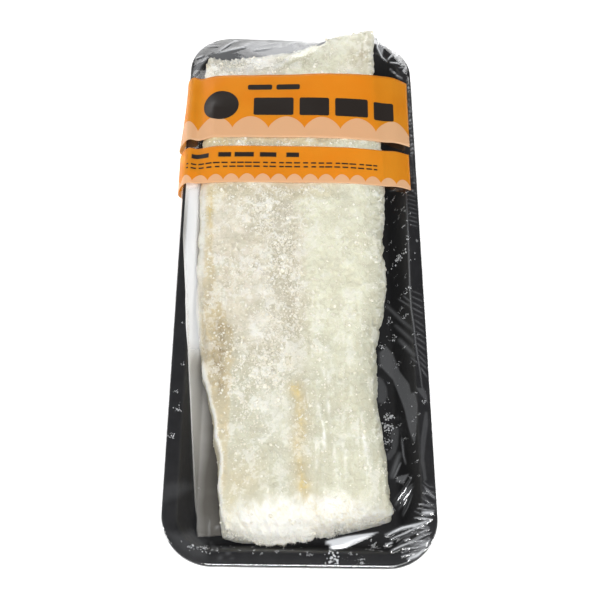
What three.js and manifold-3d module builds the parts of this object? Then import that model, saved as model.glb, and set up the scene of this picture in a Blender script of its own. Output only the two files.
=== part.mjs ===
// Salt cod fillet packed on a black foam tray: the fillet lies on an absorbent pad, stretch film is
// wrapped tight over it and sealed underneath, and two printed strips cross the far end of the pack.
// Millimetres, +Z up. X runs across the tray, +Y points to its far end, and z = 0 is what it rests on.

import * as THREE from 'three';
import { mergeVertices } from 'three/addons/utils/BufferGeometryUtils.js';
import Module from 'manifold-3d';

const wasm = await Module();
wasm.setup();

// Foam tray
const TRAY_WIDTH = 135;
const TRAY_LENGTH = 329.4;
const TRAY_CORNER = 25.5;
const TRAY_UNDERSIDE = 1.2;
const RIM_TOP = 25.2;
const FLOOR_TOP = 4.2;
const FLANGE = 6.5;
const LIP_THICKNESS = 3.5;
const WALL_FOOT = 18.5;
const CORNER_STEPS = 8;

// Clear space between pieces that touch, and the thickness of film and strips
const GAP = 0.3;
const FILM = 0.3;
const LABEL = 0.3;

// Absorbent pad, turned a little on the tray floor and riding up the left wall onto the rim
const PAD_THICKNESS = 1.2;
const PAD_NEAR_LEFT = [-50.4, -146.0];
const PAD_ON_RIM = [-66.0, 18];
const PAD_FAR = 62;
const PAD_WIDTH = 86;

// Fillet: its ends, the height of its top, and the forms on it
const FISH_NEAR = -151;
const FISH_FAR = 155.5;
const FISH_SKEW = 7;
const FISH_TOP_FAR = 34.8;
const FISH_TOP_NEAR = 29.8;
const NEAR_ROUND = 24;
const NEAR_BOW = 8.5;
const END_RISE = 7.2;
const END_DROOP = 9.5;
const BACK_HEIGHT = 1.6;
const BELLY_DROP = 3.2;
const FAR_LEFT_DROP = 2.2;
const GROOVE_DEPTH = 1.3;
const GROOVE_AT = 0.52;
const BEVEL = 3.4;
const LUMP_HEIGHT = 0.75;
const FLAKE_HEIGHT = 0.3;
const FLAKE_STEP = 18.5;
const FIBRE_HEIGHT = 0.8;
const FISH_STATIONS = 56;
const FISH_TOP_STEPS = 20;
const FISH_UNDER_STEPS = 8;
const FISH_SEED = 17;

// Coarse salt caked on the fillet
const CLUMPS = 60;
const CLUMP_RADIUS = 1.5;
const CLUMP_SUNK = 0.3;

// Stretch film: its edge inside the rim, its height over the flesh and salt, and its grid
const FILM_EDGE = 1.1;
const FILM_OFF_FISH = 1.5;
const FILM_REACH = 5.5;
const FILM_COLUMNS = 8;
const FILM_ROWS = 24;
const FILM_CORNER = 4;
const FILM_ROUNDS = 900;
const OPENING = { halfWidth: 30, halfLength: 110, radius: 12 };
const SEAL_WIDTH = 76;
const SEAL_LENGTH = 236;

// Printed strips: near edge, far edge, right end, and how far the left turn stands off the rim
const WIDE_LABEL = { near: 81, far: 127.5, right: 65.6, bulge: 4.6 };
const NARROW_LABEL = { near: 50.5, far: 75, right: 64.8, bulge: 3.6 };
const LABEL_ROWS = 4;
const LABEL_STATIONS = 25;
const TUCK_END = -41.5;

const HALF_WIDTH = TRAY_WIDTH / 2;
const HALF_LENGTH = TRAY_LENGTH / 2;
const PAD_OFF_TRAY = GAP + 0.1;
const FISH_OFF_TRAY = PAD_OFF_TRAY + PAD_THICKNESS + 0.7;
const FILM_OFF_TRAY = GAP + 0.05;
const FILM_OVER_PAD = PAD_THICKNESS + 0.5;

// Small helpers

function seededRandom(seed) {
  let state = seed >>> 0;
  return () => {
    state = (state + 0x6d2b79f5) >>> 0;
    let mixed = Math.imul(state ^ (state >>> 15), 1 | state);
    mixed = (mixed + Math.imul(mixed ^ (mixed >>> 7), 61 | mixed)) ^ mixed;
    return ((mixed ^ (mixed >>> 14)) >>> 0) / 4294967296;
  };
}

const lerp = THREE.MathUtils.lerp;
const clamp = THREE.MathUtils.clamp;

function smooth(edge0, edge1, value) {
  const t = clamp((value - edge0) / (edge1 - edge0), 0, 1);
  return t * t * (3 - 2 * t);
}

// Height on a polyline of [position, height] pairs
function along(profile, position) {
  if (position <= profile[0][0]) return profile[0][1];
  for (let i = 1; i < profile.length; i++) {
    const [p0, h0] = profile[i - 1];
    const [p1, h1] = profile[i];
    if (position <= p1) return lerp(h0, h1, (position - p0) / (p1 - p0));
  }
  return profile[profile.length - 1][1];
}

// Smooth curve through [position, height] pairs
function curveThrough(pairs) {
  const points = pairs.map(([position, height]) => new THREE.Vector2(position, height));
  const fine = new THREE.SplineCurve(points).getPoints(pairs.length * 12);
  const table = fine.map((point) => [point.x, point.y]);
  return (position) => along(table, position);
}

// Smooth noise between -1 and 1 on a lattice of random values
function latticeNoise(seed) {
  const size = 64;
  const random = seededRandom(seed);
  const values = Array.from({ length: size * size }, () => random() * 2 - 1);
  const at = (ix, iy) => values[(((iy % size) + size) % size) * size + (((ix % size) + size) % size)];
  return (x, y) => {
    const ix = Math.floor(x);
    const iy = Math.floor(y);
    const fx = smooth(0, 1, x - ix);
    const fy = smooth(0, 1, y - iy);
    return lerp(
      lerp(at(ix, iy), at(ix + 1, iy), fx),
      lerp(at(ix, iy + 1), at(ix + 1, iy + 1), fx),
      fy,
    );
  };
}

// Turns faces outwards and returns a geometry
function closedGeometry(positions, indices) {
  let volume = 0;
  const corner = (index) => new THREE.Vector3(...positions[index]);
  for (let i = 0; i < indices.length; i += 3) {
    const a = corner(indices[i]);
    volume += a.dot(corner(indices[i + 1]).cross(corner(indices[i + 2])));
  }
  if (volume < 0) {
    for (let i = 0; i < indices.length; i += 3) {
      [indices[i + 1], indices[i + 2]] = [indices[i + 2], indices[i + 1]];
    }
  }
  const geometry = new THREE.BufferGeometry();
  geometry.setAttribute('position', new THREE.Float32BufferAttribute(positions.flat(), 3));
  geometry.setIndex(indices);
  return geometry;
}

// Skins a list of equal closed rings and caps both ends with a fan
function loftRings(rings, firstCentre, lastCentre) {
  const count = rings[0].length;
  const positions = rings.flat();
  const indices = [];
  for (let r = 0; r + 1 < rings.length; r++) {
    for (let i = 0; i < count; i++) {
      const next = (i + 1) % count;
      const a = r * count + i;
      const b = r * count + next;
      indices.push(a, b, a + count, b, b + count, a + count);
    }
  }
  const first = positions.push(firstCentre) - 1;
  const last = positions.push(lastCentre) - 1;
  const base = (rings.length - 1) * count;
  for (let i = 0; i < count; i++) {
    const next = (i + 1) % count;
    indices.push(next, i, first);
    indices.push(base + i, base + next, last);
  }
  return closedGeometry(positions, indices);
}

function toManifold(geometry) {
  const bare = geometry.clone();
  bare.deleteAttribute('normal');
  bare.deleteAttribute('uv');
  const merged = mergeVertices(bare, 1e-4);
  return new wasm.Manifold(new wasm.Mesh({
    numProp: 3,
    vertProperties: new Float32Array(merged.attributes.position.array),
    triVerts: new Uint32Array(merged.index.array),
  }));
}

function fromManifold(solid) {
  const mesh = solid.getMesh();
  const geometry = new THREE.BufferGeometry();
  const positions = [];
  for (let i = 0; i < mesh.vertProperties.length; i += mesh.numProp) {
    positions.push(mesh.vertProperties[i], mesh.vertProperties[i + 1], mesh.vertProperties[i + 2]);
  }
  geometry.setAttribute('position', new THREE.Float32BufferAttribute(positions, 3));
  geometry.setIndex([...mesh.triVerts]);
  return geometry;
}

// Tray: one profile of [inset from the rim's outline, height], from under the base out over the rim
// and down the inside to the floor

const FLANGE_BEND = FLANGE + 0.5;
const INSIDE_PROFILE = [
  [0.9, RIM_TOP],
  [FLANGE - 0.9, RIM_TOP],
  [FLANGE_BEND, RIM_TOP - 0.8],
  [FLANGE_BEND + 0.9, RIM_TOP - 2.6],
  [WALL_FOOT - 4.3, FLOOR_TOP + 2.2],
  [WALL_FOOT - 2.5, FLOOR_TOP + 0.4],
  [WALL_FOOT, FLOOR_TOP],
];
const OUTSIDE_PROFILE = [
  [WALL_FOOT - 3.0, TRAY_UNDERSIDE],
  [WALL_FOOT - 5.3, TRAY_UNDERSIDE + 0.7],
  [WALL_FOOT - 6.5, TRAY_UNDERSIDE + 2.6],
  [4.6, RIM_TOP - LIP_THICKNESS - 1.1],
  [3.4, RIM_TOP - LIP_THICKNESS - 0.1],
  [0.9, RIM_TOP - LIP_THICKNESS],
  [0, RIM_TOP - LIP_THICKNESS + 0.9],
  [0, RIM_TOP - 1],
];

function trayRing(inset, height) {
  const radius = TRAY_CORNER - inset;
  const ring = [];
  for (let quarter = 0; quarter < 4; quarter++) {
    const sideX = quarter === 0 || quarter === 3 ? 1 : -1;
    const sideY = quarter < 2 ? 1 : -1;
    for (let step = 0; step <= CORNER_STEPS; step++) {
      const angle = (quarter + step / CORNER_STEPS) * (Math.PI / 2);
      ring.push([
        sideX * (HALF_WIDTH - TRAY_CORNER) + radius * Math.cos(angle),
        sideY * (HALF_LENGTH - TRAY_CORNER) + radius * Math.sin(angle),
        height,
      ]);
    }
  }
  return ring;
}

function makeTray() {
  const rings = [...OUTSIDE_PROFILE, ...INSIDE_PROFILE].map(([inset, z]) => trayRing(inset, z));
  return loftRings(rings, [0, 0, TRAY_UNDERSIDE], [0, 0, FLOOR_TOP]);
}

// How far a point of the plan lies inside the rim's outline
function insetAt(x, y) {
  const qx = Math.abs(x) - (HALF_WIDTH - TRAY_CORNER);
  const qy = Math.abs(y) - (HALF_LENGTH - TRAY_CORNER);
  const beyond = Math.hypot(Math.max(qx, 0), Math.max(qy, 0)) + Math.min(Math.max(qx, qy), 0);
  return TRAY_CORNER - beyond;
}

function trayInside(x, y) {
  return along(INSIDE_PROFILE, insetAt(x, y));
}

// Height that stays a distance clear of the inside of the tray, walls and flange too
function clearOfTray(x, y, distance) {
  let height = trayInside(x, y) + distance;
  for (let step = 0; step < 8; step++) {
    const angle = (step * Math.PI) / 4;
    const dx = distance * Math.cos(angle);
    const dy = distance * Math.sin(angle);
    height = Math.max(height, trayInside(x + dx, y + dy));
  }
  return height;
}

// Closes the space between two faces, each given as equal rows of points
function sheetBetween(oneFace, otherFace) {
  const rowCount = oneFace.length;
  const count = oneFace[0].length;
  const layer = rowCount * count;
  const indices = [];
  for (let r = 0; r + 1 < rowCount; r++) {
    for (let k = 0; k + 1 < count; k++) {
      const a = r * count + k;
      const [b, c, d] = [a + 1, a + count, a + count + 1];
      indices.push(a, b, c, b, d, c);
      indices.push(a + layer, c + layer, b + layer, b + layer, c + layer, d + layer);
    }
  }
  const border = [];
  for (let k = 0; k + 1 < count; k++) border.push(k);
  for (let r = 0; r + 1 < rowCount; r++) border.push(r * count + count - 1);
  for (let k = count - 1; k > 0; k--) border.push((rowCount - 1) * count + k);
  for (let r = rowCount - 1; r > 0; r--) border.push(r * count);
  border.forEach((a, k) => {
    const b = border[(k + 1) % border.length];
    indices.push(b, a, a + layer, b, a + layer, b + layer);
  });
  return closedGeometry([...oneFace.flat(), ...otherFace.flat()], indices);
}

// Pad: a sheet that follows the tray's floor and left wall, cut to a turned rectangle

function makePad() {
  const walls = INSIDE_PROFILE.map(([inset]) => -HALF_WIDTH + inset).filter((x) => x > PAD_ON_RIM[0]);
  const columns = [PAD_ON_RIM[0] - 1, ...walls, -38, -20, 0, 20, 50];
  const rows = [-150, -147, -144, -141, -138, -120, -80, -40, 0, 34, PAD_FAR + 4];
  const face = (distance) => rows.map((y) => columns.map((x) => [x, y, clearOfTray(x, y, distance)]));
  const sheet = sheetBetween(face(PAD_OFF_TRAY), face(PAD_OFF_TRAY + PAD_THICKNESS));
  const nearLeft = new THREE.Vector2(...PAD_NEAR_LEFT);
  const onRim = new THREE.Vector2(...PAD_ON_RIM);
  const farLeft = new THREE.Vector2(PAD_ON_RIM[0], PAD_FAR);
  const lengthwise = onRim.clone().sub(nearLeft).normalize();
  const right = new THREE.Vector2(lengthwise.y, -lengthwise.x).multiplyScalar(PAD_WIDTH);
  const outline = new THREE.Shape([
    nearLeft,
    nearLeft.clone().add(right),
    farLeft.clone().add(right),
    farLeft,
    onRim,
  ]);
  const prism = new THREE.ExtrudeGeometry(outline, { depth: RIM_TOP + 10, bevelEnabled: false });
  return fromManifold(toManifold(sheet).intersect(toManifold(prism)));
}

// Fillet: sections across it at stations along it. Its left side is the thin belly edge, its right
// side the thick back.

const leftEdge = curveThrough([
  [-151, -38.5], [-130, -40.2], [-108, -41.4], [-90, -44.6], [-70, -50.2], [-45, -54.4],
  [-10, -56.2], [40, -57.3], [90, -58.2], [130, -59.2], [155.5, -59.4],
]);
const rightEdge = curveThrough([
  [-151, 43.5], [-140, 45.8], [-118, 44.0], [-96, 40.9], [-70, 40.0], [-42, 41.8], [-15, 46.2],
  [35, 47.6], [80, 47.8], [130, 45.6], [155.5, 43.8],
]);

const lumps = latticeNoise(FISH_SEED);
const ripples = latticeNoise(FISH_SEED + 1);
const fraying = latticeNoise(FISH_SEED + 2);

// The near end bows out to a rounded foot, the far end is cut a little askew
function fishY(station, across) {
  const near = FISH_NEAR + NEAR_BOW * Math.pow(Math.abs(across * 2 - 0.86), 2.2);
  const far = FISH_FAR - FISH_SKEW * (1 - smooth(0.2, 0.9, across)) + 0.7 * Math.sin(across * 19);
  return lerp(near, far, station);
}

// Top of the flesh before its relief: highest along the back, lower at the belly, with a groove
// where the two meet. At the far end the right corner curls up and the left one droops.
function fleshTop(across, y) {
  const crown = lerp(FISH_TOP_NEAR, FISH_TOP_FAR, smooth(-20, 130, y));
  const toEnd = smooth(122, FISH_FAR, y);
  const back = BACK_HEIGHT * smooth(0.42, 0.66, across) * (1 - smooth(0.8, 1, across)) * (1 - toEnd);
  const farRise = END_RISE * toEnd * smooth(0.5, 1, across);
  const leftDrop = FAR_LEFT_DROP * smooth(90, 128, y) * (1 - smooth(0.1, 0.42, across));
  const farDroop = END_DROOP * smooth(128, 151, y) * (1 - smooth(0.15, 0.85, across));
  const fromGroove = (across - GROOVE_AT) / 0.05;
  const groove = GROOVE_DEPTH * Math.exp(-fromGroove * fromGroove) * (1 - smooth(20, 110, y));
  const belly = BELLY_DROP * (1 - smooth(0.02, 0.3, across)) * (1 - smooth(20, 90, y));
  return crown + back + farRise - leftDrop - farDroop - groove - belly;
}

// Lumps, flakes in curved bands and long fibres
function fleshRelief(x, y, across) {
  const bands = (y + 26 * Math.abs(across - GROOVE_AT)) * ((2 * Math.PI) / FLAKE_STEP);
  const flakes = Math.sin(bands + 2.2 * lumps(x / 40, y / 40));
  const fibres = ripples(x / 5.5, y / 60);
  const fibrous = smooth(0.45, 0.6, across) * (1 - smooth(-20, 40, y));
  return LUMP_HEIGHT * lumps(x / 11, y / 11) + FLAKE_HEIGHT * flakes + FIBRE_HEIGHT * fibres * fibrous;
}

function fishUnderside(x, y) {
  const curl = END_RISE * smooth(118, FISH_FAR, y) * smooth(-8, 42, x);
  return clearOfTray(x, y, FISH_OFF_TRAY) + curl;
}

function fishTop(x, y) {
  const left = leftEdge(y);
  const right = rightEdge(y);
  const across = clamp((x - left) / (right - left), 0, 1);
  const fromNear = clamp((y - fishY(0, across)) / NEAR_ROUND, 0, 1);
  const rounding = Math.pow(1 - Math.pow(1 - fromNear, 2.4), 0.42);
  const full = fleshTop(across, y) + fleshRelief(x, y, across);
  const foot = fishUnderside(x, y) + 3;
  return lerp(foot, Math.max(full, foot), rounding);
}

// One section: left side, top, right side and underside, as one closed ring
function fishRing(station) {
  const ring = [];
  const point = (across, height, push = 0) => {
    const y = fishY(station, clamp(across, 0, 1));
    const wander = 0.9 * fraying(across * 3, y / 9);
    const x = lerp(leftEdge(y), rightEdge(y), across) + push + (across <= 0 || across >= 1 ? wander : 0);
    ring.push([x, y, height(x, y)]);
  };
  const shoulder = (share) => (x, y) => lerp(fishUnderside(x, y), fishTop(x, y), share);
  point(0.035, fishUnderside);
  point(0, shoulder(0.16), 0.6);
  point(0, shoulder(0.38));
  point(0, shoulder(0.62), 1.2);
  point(0, shoulder(0.86), BEVEL);
  for (let step = 0; step <= FISH_TOP_STEPS; step++) {
    point(lerp(0.062, 0.955, step / FISH_TOP_STEPS), fishTop);
  }
  point(1, shoulder(0.86), -1.3);
  point(1, shoulder(0.6));
  point(1, shoulder(0.3), -0.3);
  point(1, shoulder(0.08), -2);
  for (let step = 0; step <= FISH_UNDER_STEPS; step++) {
    point(lerp(0.94, 0.09, step / FISH_UNDER_STEPS), fishUnderside);
  }
  return ring;
}

function ringCentre(ring, shift) {
  const centre = [0, shift, 0];
  for (const point of ring) {
    for (let axis = 0; axis < 3; axis++) centre[axis] += point[axis] / ring.length;
  }
  return centre;
}

// A salt clump: a small crystal-like lump with uneven corners
function clumpGeometry(random) {
  const radius = CLUMP_RADIUS * lerp(0.75, 1.45, Math.pow(random(), 1.6));
  const geometry = new THREE.IcosahedronGeometry(radius, 0);
  const merged = mergeVertices(geometry.deleteAttribute('normal').deleteAttribute('uv'), 1e-4);
  merged.rotateY(random() * Math.PI);
  merged.scale(lerp(0.9, 1.5, random()), lerp(0.9, 1.3, random()), 0.72);
  merged.rotateZ(random() * Math.PI);
  return merged;
}

function makeFillet() {
  const rings = [];
  for (let i = 0; i <= FISH_STATIONS; i++) {
    rings.push(fishRing(Math.pow(i / FISH_STATIONS, 1.08)));
  }
  const body = loftRings(
    rings,
    ringCentre(rings[0], -1.5),
    ringCentre(rings[rings.length - 1], -0.6),
  );
  let solid = toManifold(body);
  const random = seededRandom(FISH_SEED + 3);
  const clumps = [];
  let placed = 0;
  while (placed < CLUMPS) {
    const y = lerp(-128, 146, random());
    const across = lerp(0.1, 0.9, random());
    const salted = 0.25 + 0.75 * (1 - smooth(0.45, 0.7, across));
    if (random() > salted) continue;
    const x = lerp(leftEdge(y), rightEdge(y), across);
    const clump = clumpGeometry(random);
    clump.translate(x, y, fishTop(x, y) - CLUMP_SUNK);
    clumps.push(toManifold(clump));
    placed += 1;
  }
  for (const clump of clumps) solid = solid.add(clump);
  return fromManifold(solid);
}

// Film: a grid over the top whose edge follows the rim, then rings down the sides and under the base
// to an opening that the seal closes from below

const FILM_ACROSS = FILM_COLUMNS + 2 * FILM_CORNER;
const FILM_ALONG = FILM_ROWS + 2 * FILM_CORNER;

// Grid line positions of one side of a rounded rectangle: even on the straight, and so spaced in the
// corners that the outline's points divide the arc evenly
function gridLine(index, straightCells, half, radius) {
  const straight = half - radius;
  const fromMiddle = index - (straightCells / 2 + FILM_CORNER);
  const side = Math.sign(fromMiddle);
  const cells = Math.abs(fromMiddle);
  if (cells <= straightCells / 2) return { flat: side * straight * (cells / (straightCells / 2)), turn: 0 };
  const angle = ((cells - straightCells / 2) / FILM_CORNER) * (Math.PI / 4);
  return { flat: side * straight, turn: side * Math.SQRT2 * Math.sin(angle) };
}

function gridPoint(i, j, halfWidth, halfLength, radius) {
  const a = gridLine(i, FILM_COLUMNS, halfWidth, radius);
  const b = gridLine(j, FILM_ROWS, halfLength, radius);
  return [
    a.flat + radius * a.turn * Math.sqrt(1 - (b.turn * b.turn) / 2),
    b.flat + radius * b.turn * Math.sqrt(1 - (a.turn * a.turn) / 2),
  ];
}

// Half width, half length and corner radius of the rim's outline, moved in
function insetSize(inset) {
  return [HALF_WIDTH - inset, HALF_LENGTH - inset, TRAY_CORNER - inset];
}

const FILM_OUTLINE = [];
for (let i = 0; i < FILM_ACROSS; i++) FILM_OUTLINE.push([i, 0]);
for (let j = 0; j < FILM_ALONG; j++) FILM_OUTLINE.push([FILM_ACROSS, j]);
for (let i = FILM_ACROSS; i > 0; i--) FILM_OUTLINE.push([i, FILM_ALONG]);
for (let j = FILM_ALONG; j > 0; j--) FILM_OUTLINE.push([0, j]);

// How much the pad lifts the film where it lies over the left flange
function padLift(x, y) {
  if (x > 0) return 0;
  return FILM_OVER_PAD * smooth(-30, -12, y) * (1 - smooth(PAD_FAR + 4, PAD_FAR + 14, y));
}

// Highest point of what lies under the film near a place
function coveredHeight(x, y) {
  const padLeft = lerp(PAD_ON_RIM[0], PAD_NEAR_LEFT[0], smooth(PAD_ON_RIM[1], PAD_NEAR_LEFT[1], y));
  const overPad = x < 0 && x > padLeft - 6 && y < PAD_FAR + 8;
  let height = clearOfTray(x, y, FILM_OFF_TRAY + (overPad ? FILM_OVER_PAD : 0));
  for (let dx = -1; dx <= 1; dx += 0.5) {
    for (let dy = -1; dy <= 1; dy += 0.5) {
      const px = x + dx * FILM_REACH;
      const py = y + dy * FILM_REACH;
      const inside = px > leftEdge(py) + 1.5 && px < rightEdge(py) - 1 && py > FISH_NEAR && py < FISH_FAR;
      if (inside) height = Math.max(height, fishTop(px, py) + FILM_OFF_FISH);
    }
  }
  return height;
}

// Tight film: every free point settles between its neighbours and rests on what is under it
function relaxFilm() {
  const stride = FILM_ACROSS + 1;
  const points = [];
  for (let j = 0; j <= FILM_ALONG; j++) {
    for (let i = 0; i <= FILM_ACROSS; i++) {
      const [x, y] = gridPoint(i, j, ...insetSize(FILM_EDGE));
      const edge = i === 0 || j === 0 || i === FILM_ACROSS || j === FILM_ALONG;
      const rest = edge ? RIM_TOP + FILM_OFF_TRAY + padLift(x, y) : coveredHeight(x, y);
      points.push({ x, y, edge, rest, z: rest });
    }
  }
  for (let round = 0; round < FILM_ROUNDS; round++) {
    points.forEach((point, index) => {
      if (point.edge) return;
      let total = 0;
      let weights = 0;
      for (const step of [-1, 1, -stride, stride]) {
        const other = points[index + step];
        const weight = 1 / Math.hypot(other.x - point.x, other.y - point.y);
        total += weight * other.z;
        weights += weight;
      }
      point.z = Math.max(point.rest, lerp(point.z, total / weights, 1.6));
    });
  }
  return points;
}

// The two faces of the film from the rim down to the base, as [inset from the outline, height]
const INNER_DROP = [
  [-FILM_OFF_TRAY, RIM_TOP - 0.7],
  [-FILM_OFF_TRAY, RIM_TOP - 2.8],
  [WALL_FOOT - 7.1, TRAY_UNDERSIDE + 2.4],
  [WALL_FOOT - 5.5, TRAY_UNDERSIDE + 0.15],
  [WALL_FOOT - 3.0, TRAY_UNDERSIDE - GAP],
];
const OUTER_DROP = [
  [-FILM_OFF_TRAY - FILM, RIM_TOP - 0.6],
  [-FILM_OFF_TRAY - FILM, RIM_TOP - 2.9],
  [WALL_FOOT - 7.35, TRAY_UNDERSIDE + 2.2],
  [WALL_FOOT - 5.65, TRAY_UNDERSIDE - 0.1],
  [WALL_FOOT - 3.0, TRAY_UNDERSIDE - GAP - FILM],
];

function makeFilm(points) {
  const stride = FILM_ACROSS + 1;
  const layer = points.length;
  const positions = [
    ...points.map((point) => [point.x, point.y, point.z + FILM]),
    ...points.map((point) => [point.x, point.y, point.z]),
  ];
  const indices = [];
  for (let j = 0; j < FILM_ALONG; j++) {
    for (let i = 0; i < FILM_ACROSS; i++) {
      const a = j * stride + i;
      const [b, c, d] = [a + 1, a + stride, a + stride + 1];
      const rising = (i < FILM_ACROSS / 2) === (j < FILM_ALONG / 2);
      const faces = rising ? [a, b, d, a, d, c] : [a, b, c, b, d, c];
      indices.push(...faces);
      indices.push(...faces.map((index) => index + layer).reverse());
    }
  }
  const loop = FILM_OUTLINE.length;
  const layers = [OUTER_DROP, INNER_DROP].map((drop, side) => {
    const rings = [FILM_OUTLINE.map(([i, j]) => side * layer + j * stride + i)];
    const sizes = drop.map(([inset, z]) => [...insetSize(inset), z]);
    sizes.push([OPENING.halfWidth, OPENING.halfLength, OPENING.radius, drop[drop.length - 1][1]]);
    for (const [halfWidth, halfLength, radius, z] of sizes) {
      rings.push(FILM_OUTLINE.map(([i, j]) => {
        return positions.push([...gridPoint(i, j, halfWidth, halfLength, radius), z]) - 1;
      }));
    }
    return rings;
  });
  const join = (upper, lower) => {
    for (let k = 0; k < loop; k++) {
      const next = (k + 1) % loop;
      indices.push(upper[k], lower[k], upper[next], lower[k], lower[next], upper[next]);
    }
  };
  const [outer, inner] = layers;
  for (let r = 0; r + 1 < outer.length; r++) {
    join(outer[r], outer[r + 1]);
    join(inner[r + 1], inner[r]);
  }
  join(outer[outer.length - 1], inner[inner.length - 1]);
  return closedGeometry(positions, indices);
}

// Height of the film's outer face over a place of the plan
function filmSampler(points) {
  const stride = FILM_ACROSS + 1;
  const faces = [];
  for (let j = 0; j < FILM_ALONG; j++) {
    for (let i = 0; i < FILM_ACROSS; i++) {
      const a = points[j * stride + i];
      const b = points[j * stride + i + 1];
      const c = points[(j + 1) * stride + i];
      const d = points[(j + 1) * stride + i + 1];
      const rising = (i < FILM_ACROSS / 2) === (j < FILM_ALONG / 2);
      faces.push(...(rising ? [[a, b, d], [a, d, c]] : [[a, b, c], [b, d, c]]));
    }
  }
  return (x, y) => {
    for (const [a, b, c] of faces) {
      const area = (b.x - a.x) * (c.y - a.y) - (c.x - a.x) * (b.y - a.y);
      const u = ((x - a.x) * (c.y - a.y) - (c.x - a.x) * (y - a.y)) / area;
      const v = ((b.x - a.x) * (y - a.y) - (x - a.x) * (b.y - a.y)) / area;
      if (u >= -1e-6 && v >= -1e-6 && u + v <= 1 + 1e-6) {
        return a.z + u * (b.z - a.z) + v * (c.z - a.z) + FILM;
      }
    }
    return RIM_TOP + GAP + FILM;
  };
}

// Strip: it starts on the right flange, crosses over the film, turns round the left rim with some
// slack and is tucked under the base
function labelPath(label, y, filmHeight) {
  const path = [];
  const left = -HALF_WIDTH + FILM_EDGE;
  const around = [-4, -2, 0, 2, 4];
  for (let k = 0; k <= LABEL_STATIONS; k++) {
    const x = lerp(label.right, left, k / LABEL_STATIONS);
    const heights = around.flatMap((dx) => around.map((dy) => filmHeight(x + dx, y + dy)));
    path.push([x, y, Math.max(...heights) + GAP]);
  }
  const out = -HALF_WIDTH - label.bulge;
  path.push([-HALF_WIDTH - 2.0, y, RIM_TOP - 0.4]);
  path.push([lerp(-HALF_WIDTH, out, 0.85), y, RIM_TOP - 4.5]);
  path.push([out, y, RIM_TOP - 9]);
  path.push([out + 1.2, y, RIM_TOP - 14]);
  path.push([-HALF_WIDTH + 3.5, y, 3.4]);
  path.push([-HALF_WIDTH + 9.0, y, LABEL + 0.4]);
  path.push([-HALF_WIDTH + 14.5, y, LABEL]);
  path.push([TUCK_END, y, LABEL]);
  return path;
}

// The same path moved out by the strip's thickness; its tucked end lies flat on the ground
function outerPath(path) {
  const last = path.length - 1;
  return path.map(([x, y, z], k) => {
    if (k >= last - 1) return [x, y, 0];
    const [x0, , z0] = path[Math.max(k - 1, 0)];
    const [x1, , z1] = path[k + 1];
    const run = Math.hypot(x1 - x0, z1 - z0);
    return [x + ((z1 - z0) / run) * LABEL, y, z - ((x1 - x0) / run) * LABEL];
  });
}

function makeLabel(label, filmHeight) {
  const paths = [];
  for (let row = 0; row <= LABEL_ROWS; row++) {
    paths.push(labelPath(label, lerp(label.near, label.far, row / LABEL_ROWS), filmHeight));
  }
  return sheetBetween(paths, paths.map(outerPath));
}

// Seal: the patch of film welded over the opening under the base
function makeSeal() {
  const geometry = new THREE.BoxGeometry(SEAL_WIDTH, SEAL_LENGTH, FILM);
  geometry.translate(0, 0, FILM / 2);
  return geometry;
}

const MATERIALS = {
  foam: new THREE.MeshStandardMaterial({ color: '#17181a', roughness: 0.55, metalness: 0 }),
  fleece: new THREE.MeshStandardMaterial({ color: '#e4e5e6', roughness: 0.9, metalness: 0 }),
  flesh: new THREE.MeshStandardMaterial({ color: '#e4e0cd', roughness: 0.6, metalness: 0 }),
  film: new THREE.MeshStandardMaterial({
    color: '#f2f5f7', roughness: 0.08, metalness: 0, transparent: true, opacity: 0.16,
  }),
  print: new THREE.MeshStandardMaterial({ color: '#ee9a33', roughness: 0.45, metalness: 0 }),
};

const group = new THREE.Group();

function add(name, geometry, material) {
  geometry.computeVertexNormals();
  const mesh = new THREE.Mesh(geometry, material);
  mesh.name = name;
  group.add(mesh);
}

const filmPoints = relaxFilm();
const filmHeight = filmSampler(filmPoints);

add('tray', makeTray(), MATERIALS.foam);
add('pad', makePad(), MATERIALS.fleece);
add('fillet', makeFillet(), MATERIALS.flesh);
add('film_wrap', makeFilm(filmPoints), MATERIALS.film);
add('film_seal', makeSeal(), MATERIALS.film);
add('label_wide', makeLabel(WIDE_LABEL, filmHeight), MATERIALS.print);
add('label_narrow', makeLabel(NARROW_LABEL, filmHeight), MATERIALS.print);

// The origin is under the middle of the pack's own box, which the strips widen on the left
const box = new THREE.Box3().setFromObject(group);
group.position.x = -(box.min.x + box.max.x) / 2;

export default group;
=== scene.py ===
"""Packed salt cod fillet: the finished look of every piece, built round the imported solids."""

import math

import bmesh
import bpy
import numpy as np
from bpy.props import FloatProperty, FloatVectorProperty, IntProperty, PointerProperty
from mathutils import Matrix, Vector
from mathutils.bvhtree import BVHTree


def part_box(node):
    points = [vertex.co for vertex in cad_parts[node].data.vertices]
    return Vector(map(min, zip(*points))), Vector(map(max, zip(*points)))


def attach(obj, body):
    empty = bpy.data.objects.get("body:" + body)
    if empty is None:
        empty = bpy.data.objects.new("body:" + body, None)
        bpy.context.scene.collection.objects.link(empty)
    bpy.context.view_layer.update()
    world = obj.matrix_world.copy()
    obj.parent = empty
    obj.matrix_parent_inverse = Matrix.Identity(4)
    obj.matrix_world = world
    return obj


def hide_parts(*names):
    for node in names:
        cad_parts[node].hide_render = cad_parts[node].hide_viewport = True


bl_info = {
    "name": "Packed salt cod fillet",
    "version": (1, 0, 0),
    "blender": (4, 5, 0),
    "location": "3D View > Sidebar > Fish pack",
    "description": "Tray, pad, fillet, salt, stretch film and printed strips of a packed fillet",
    "category": "Object",
}

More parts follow.
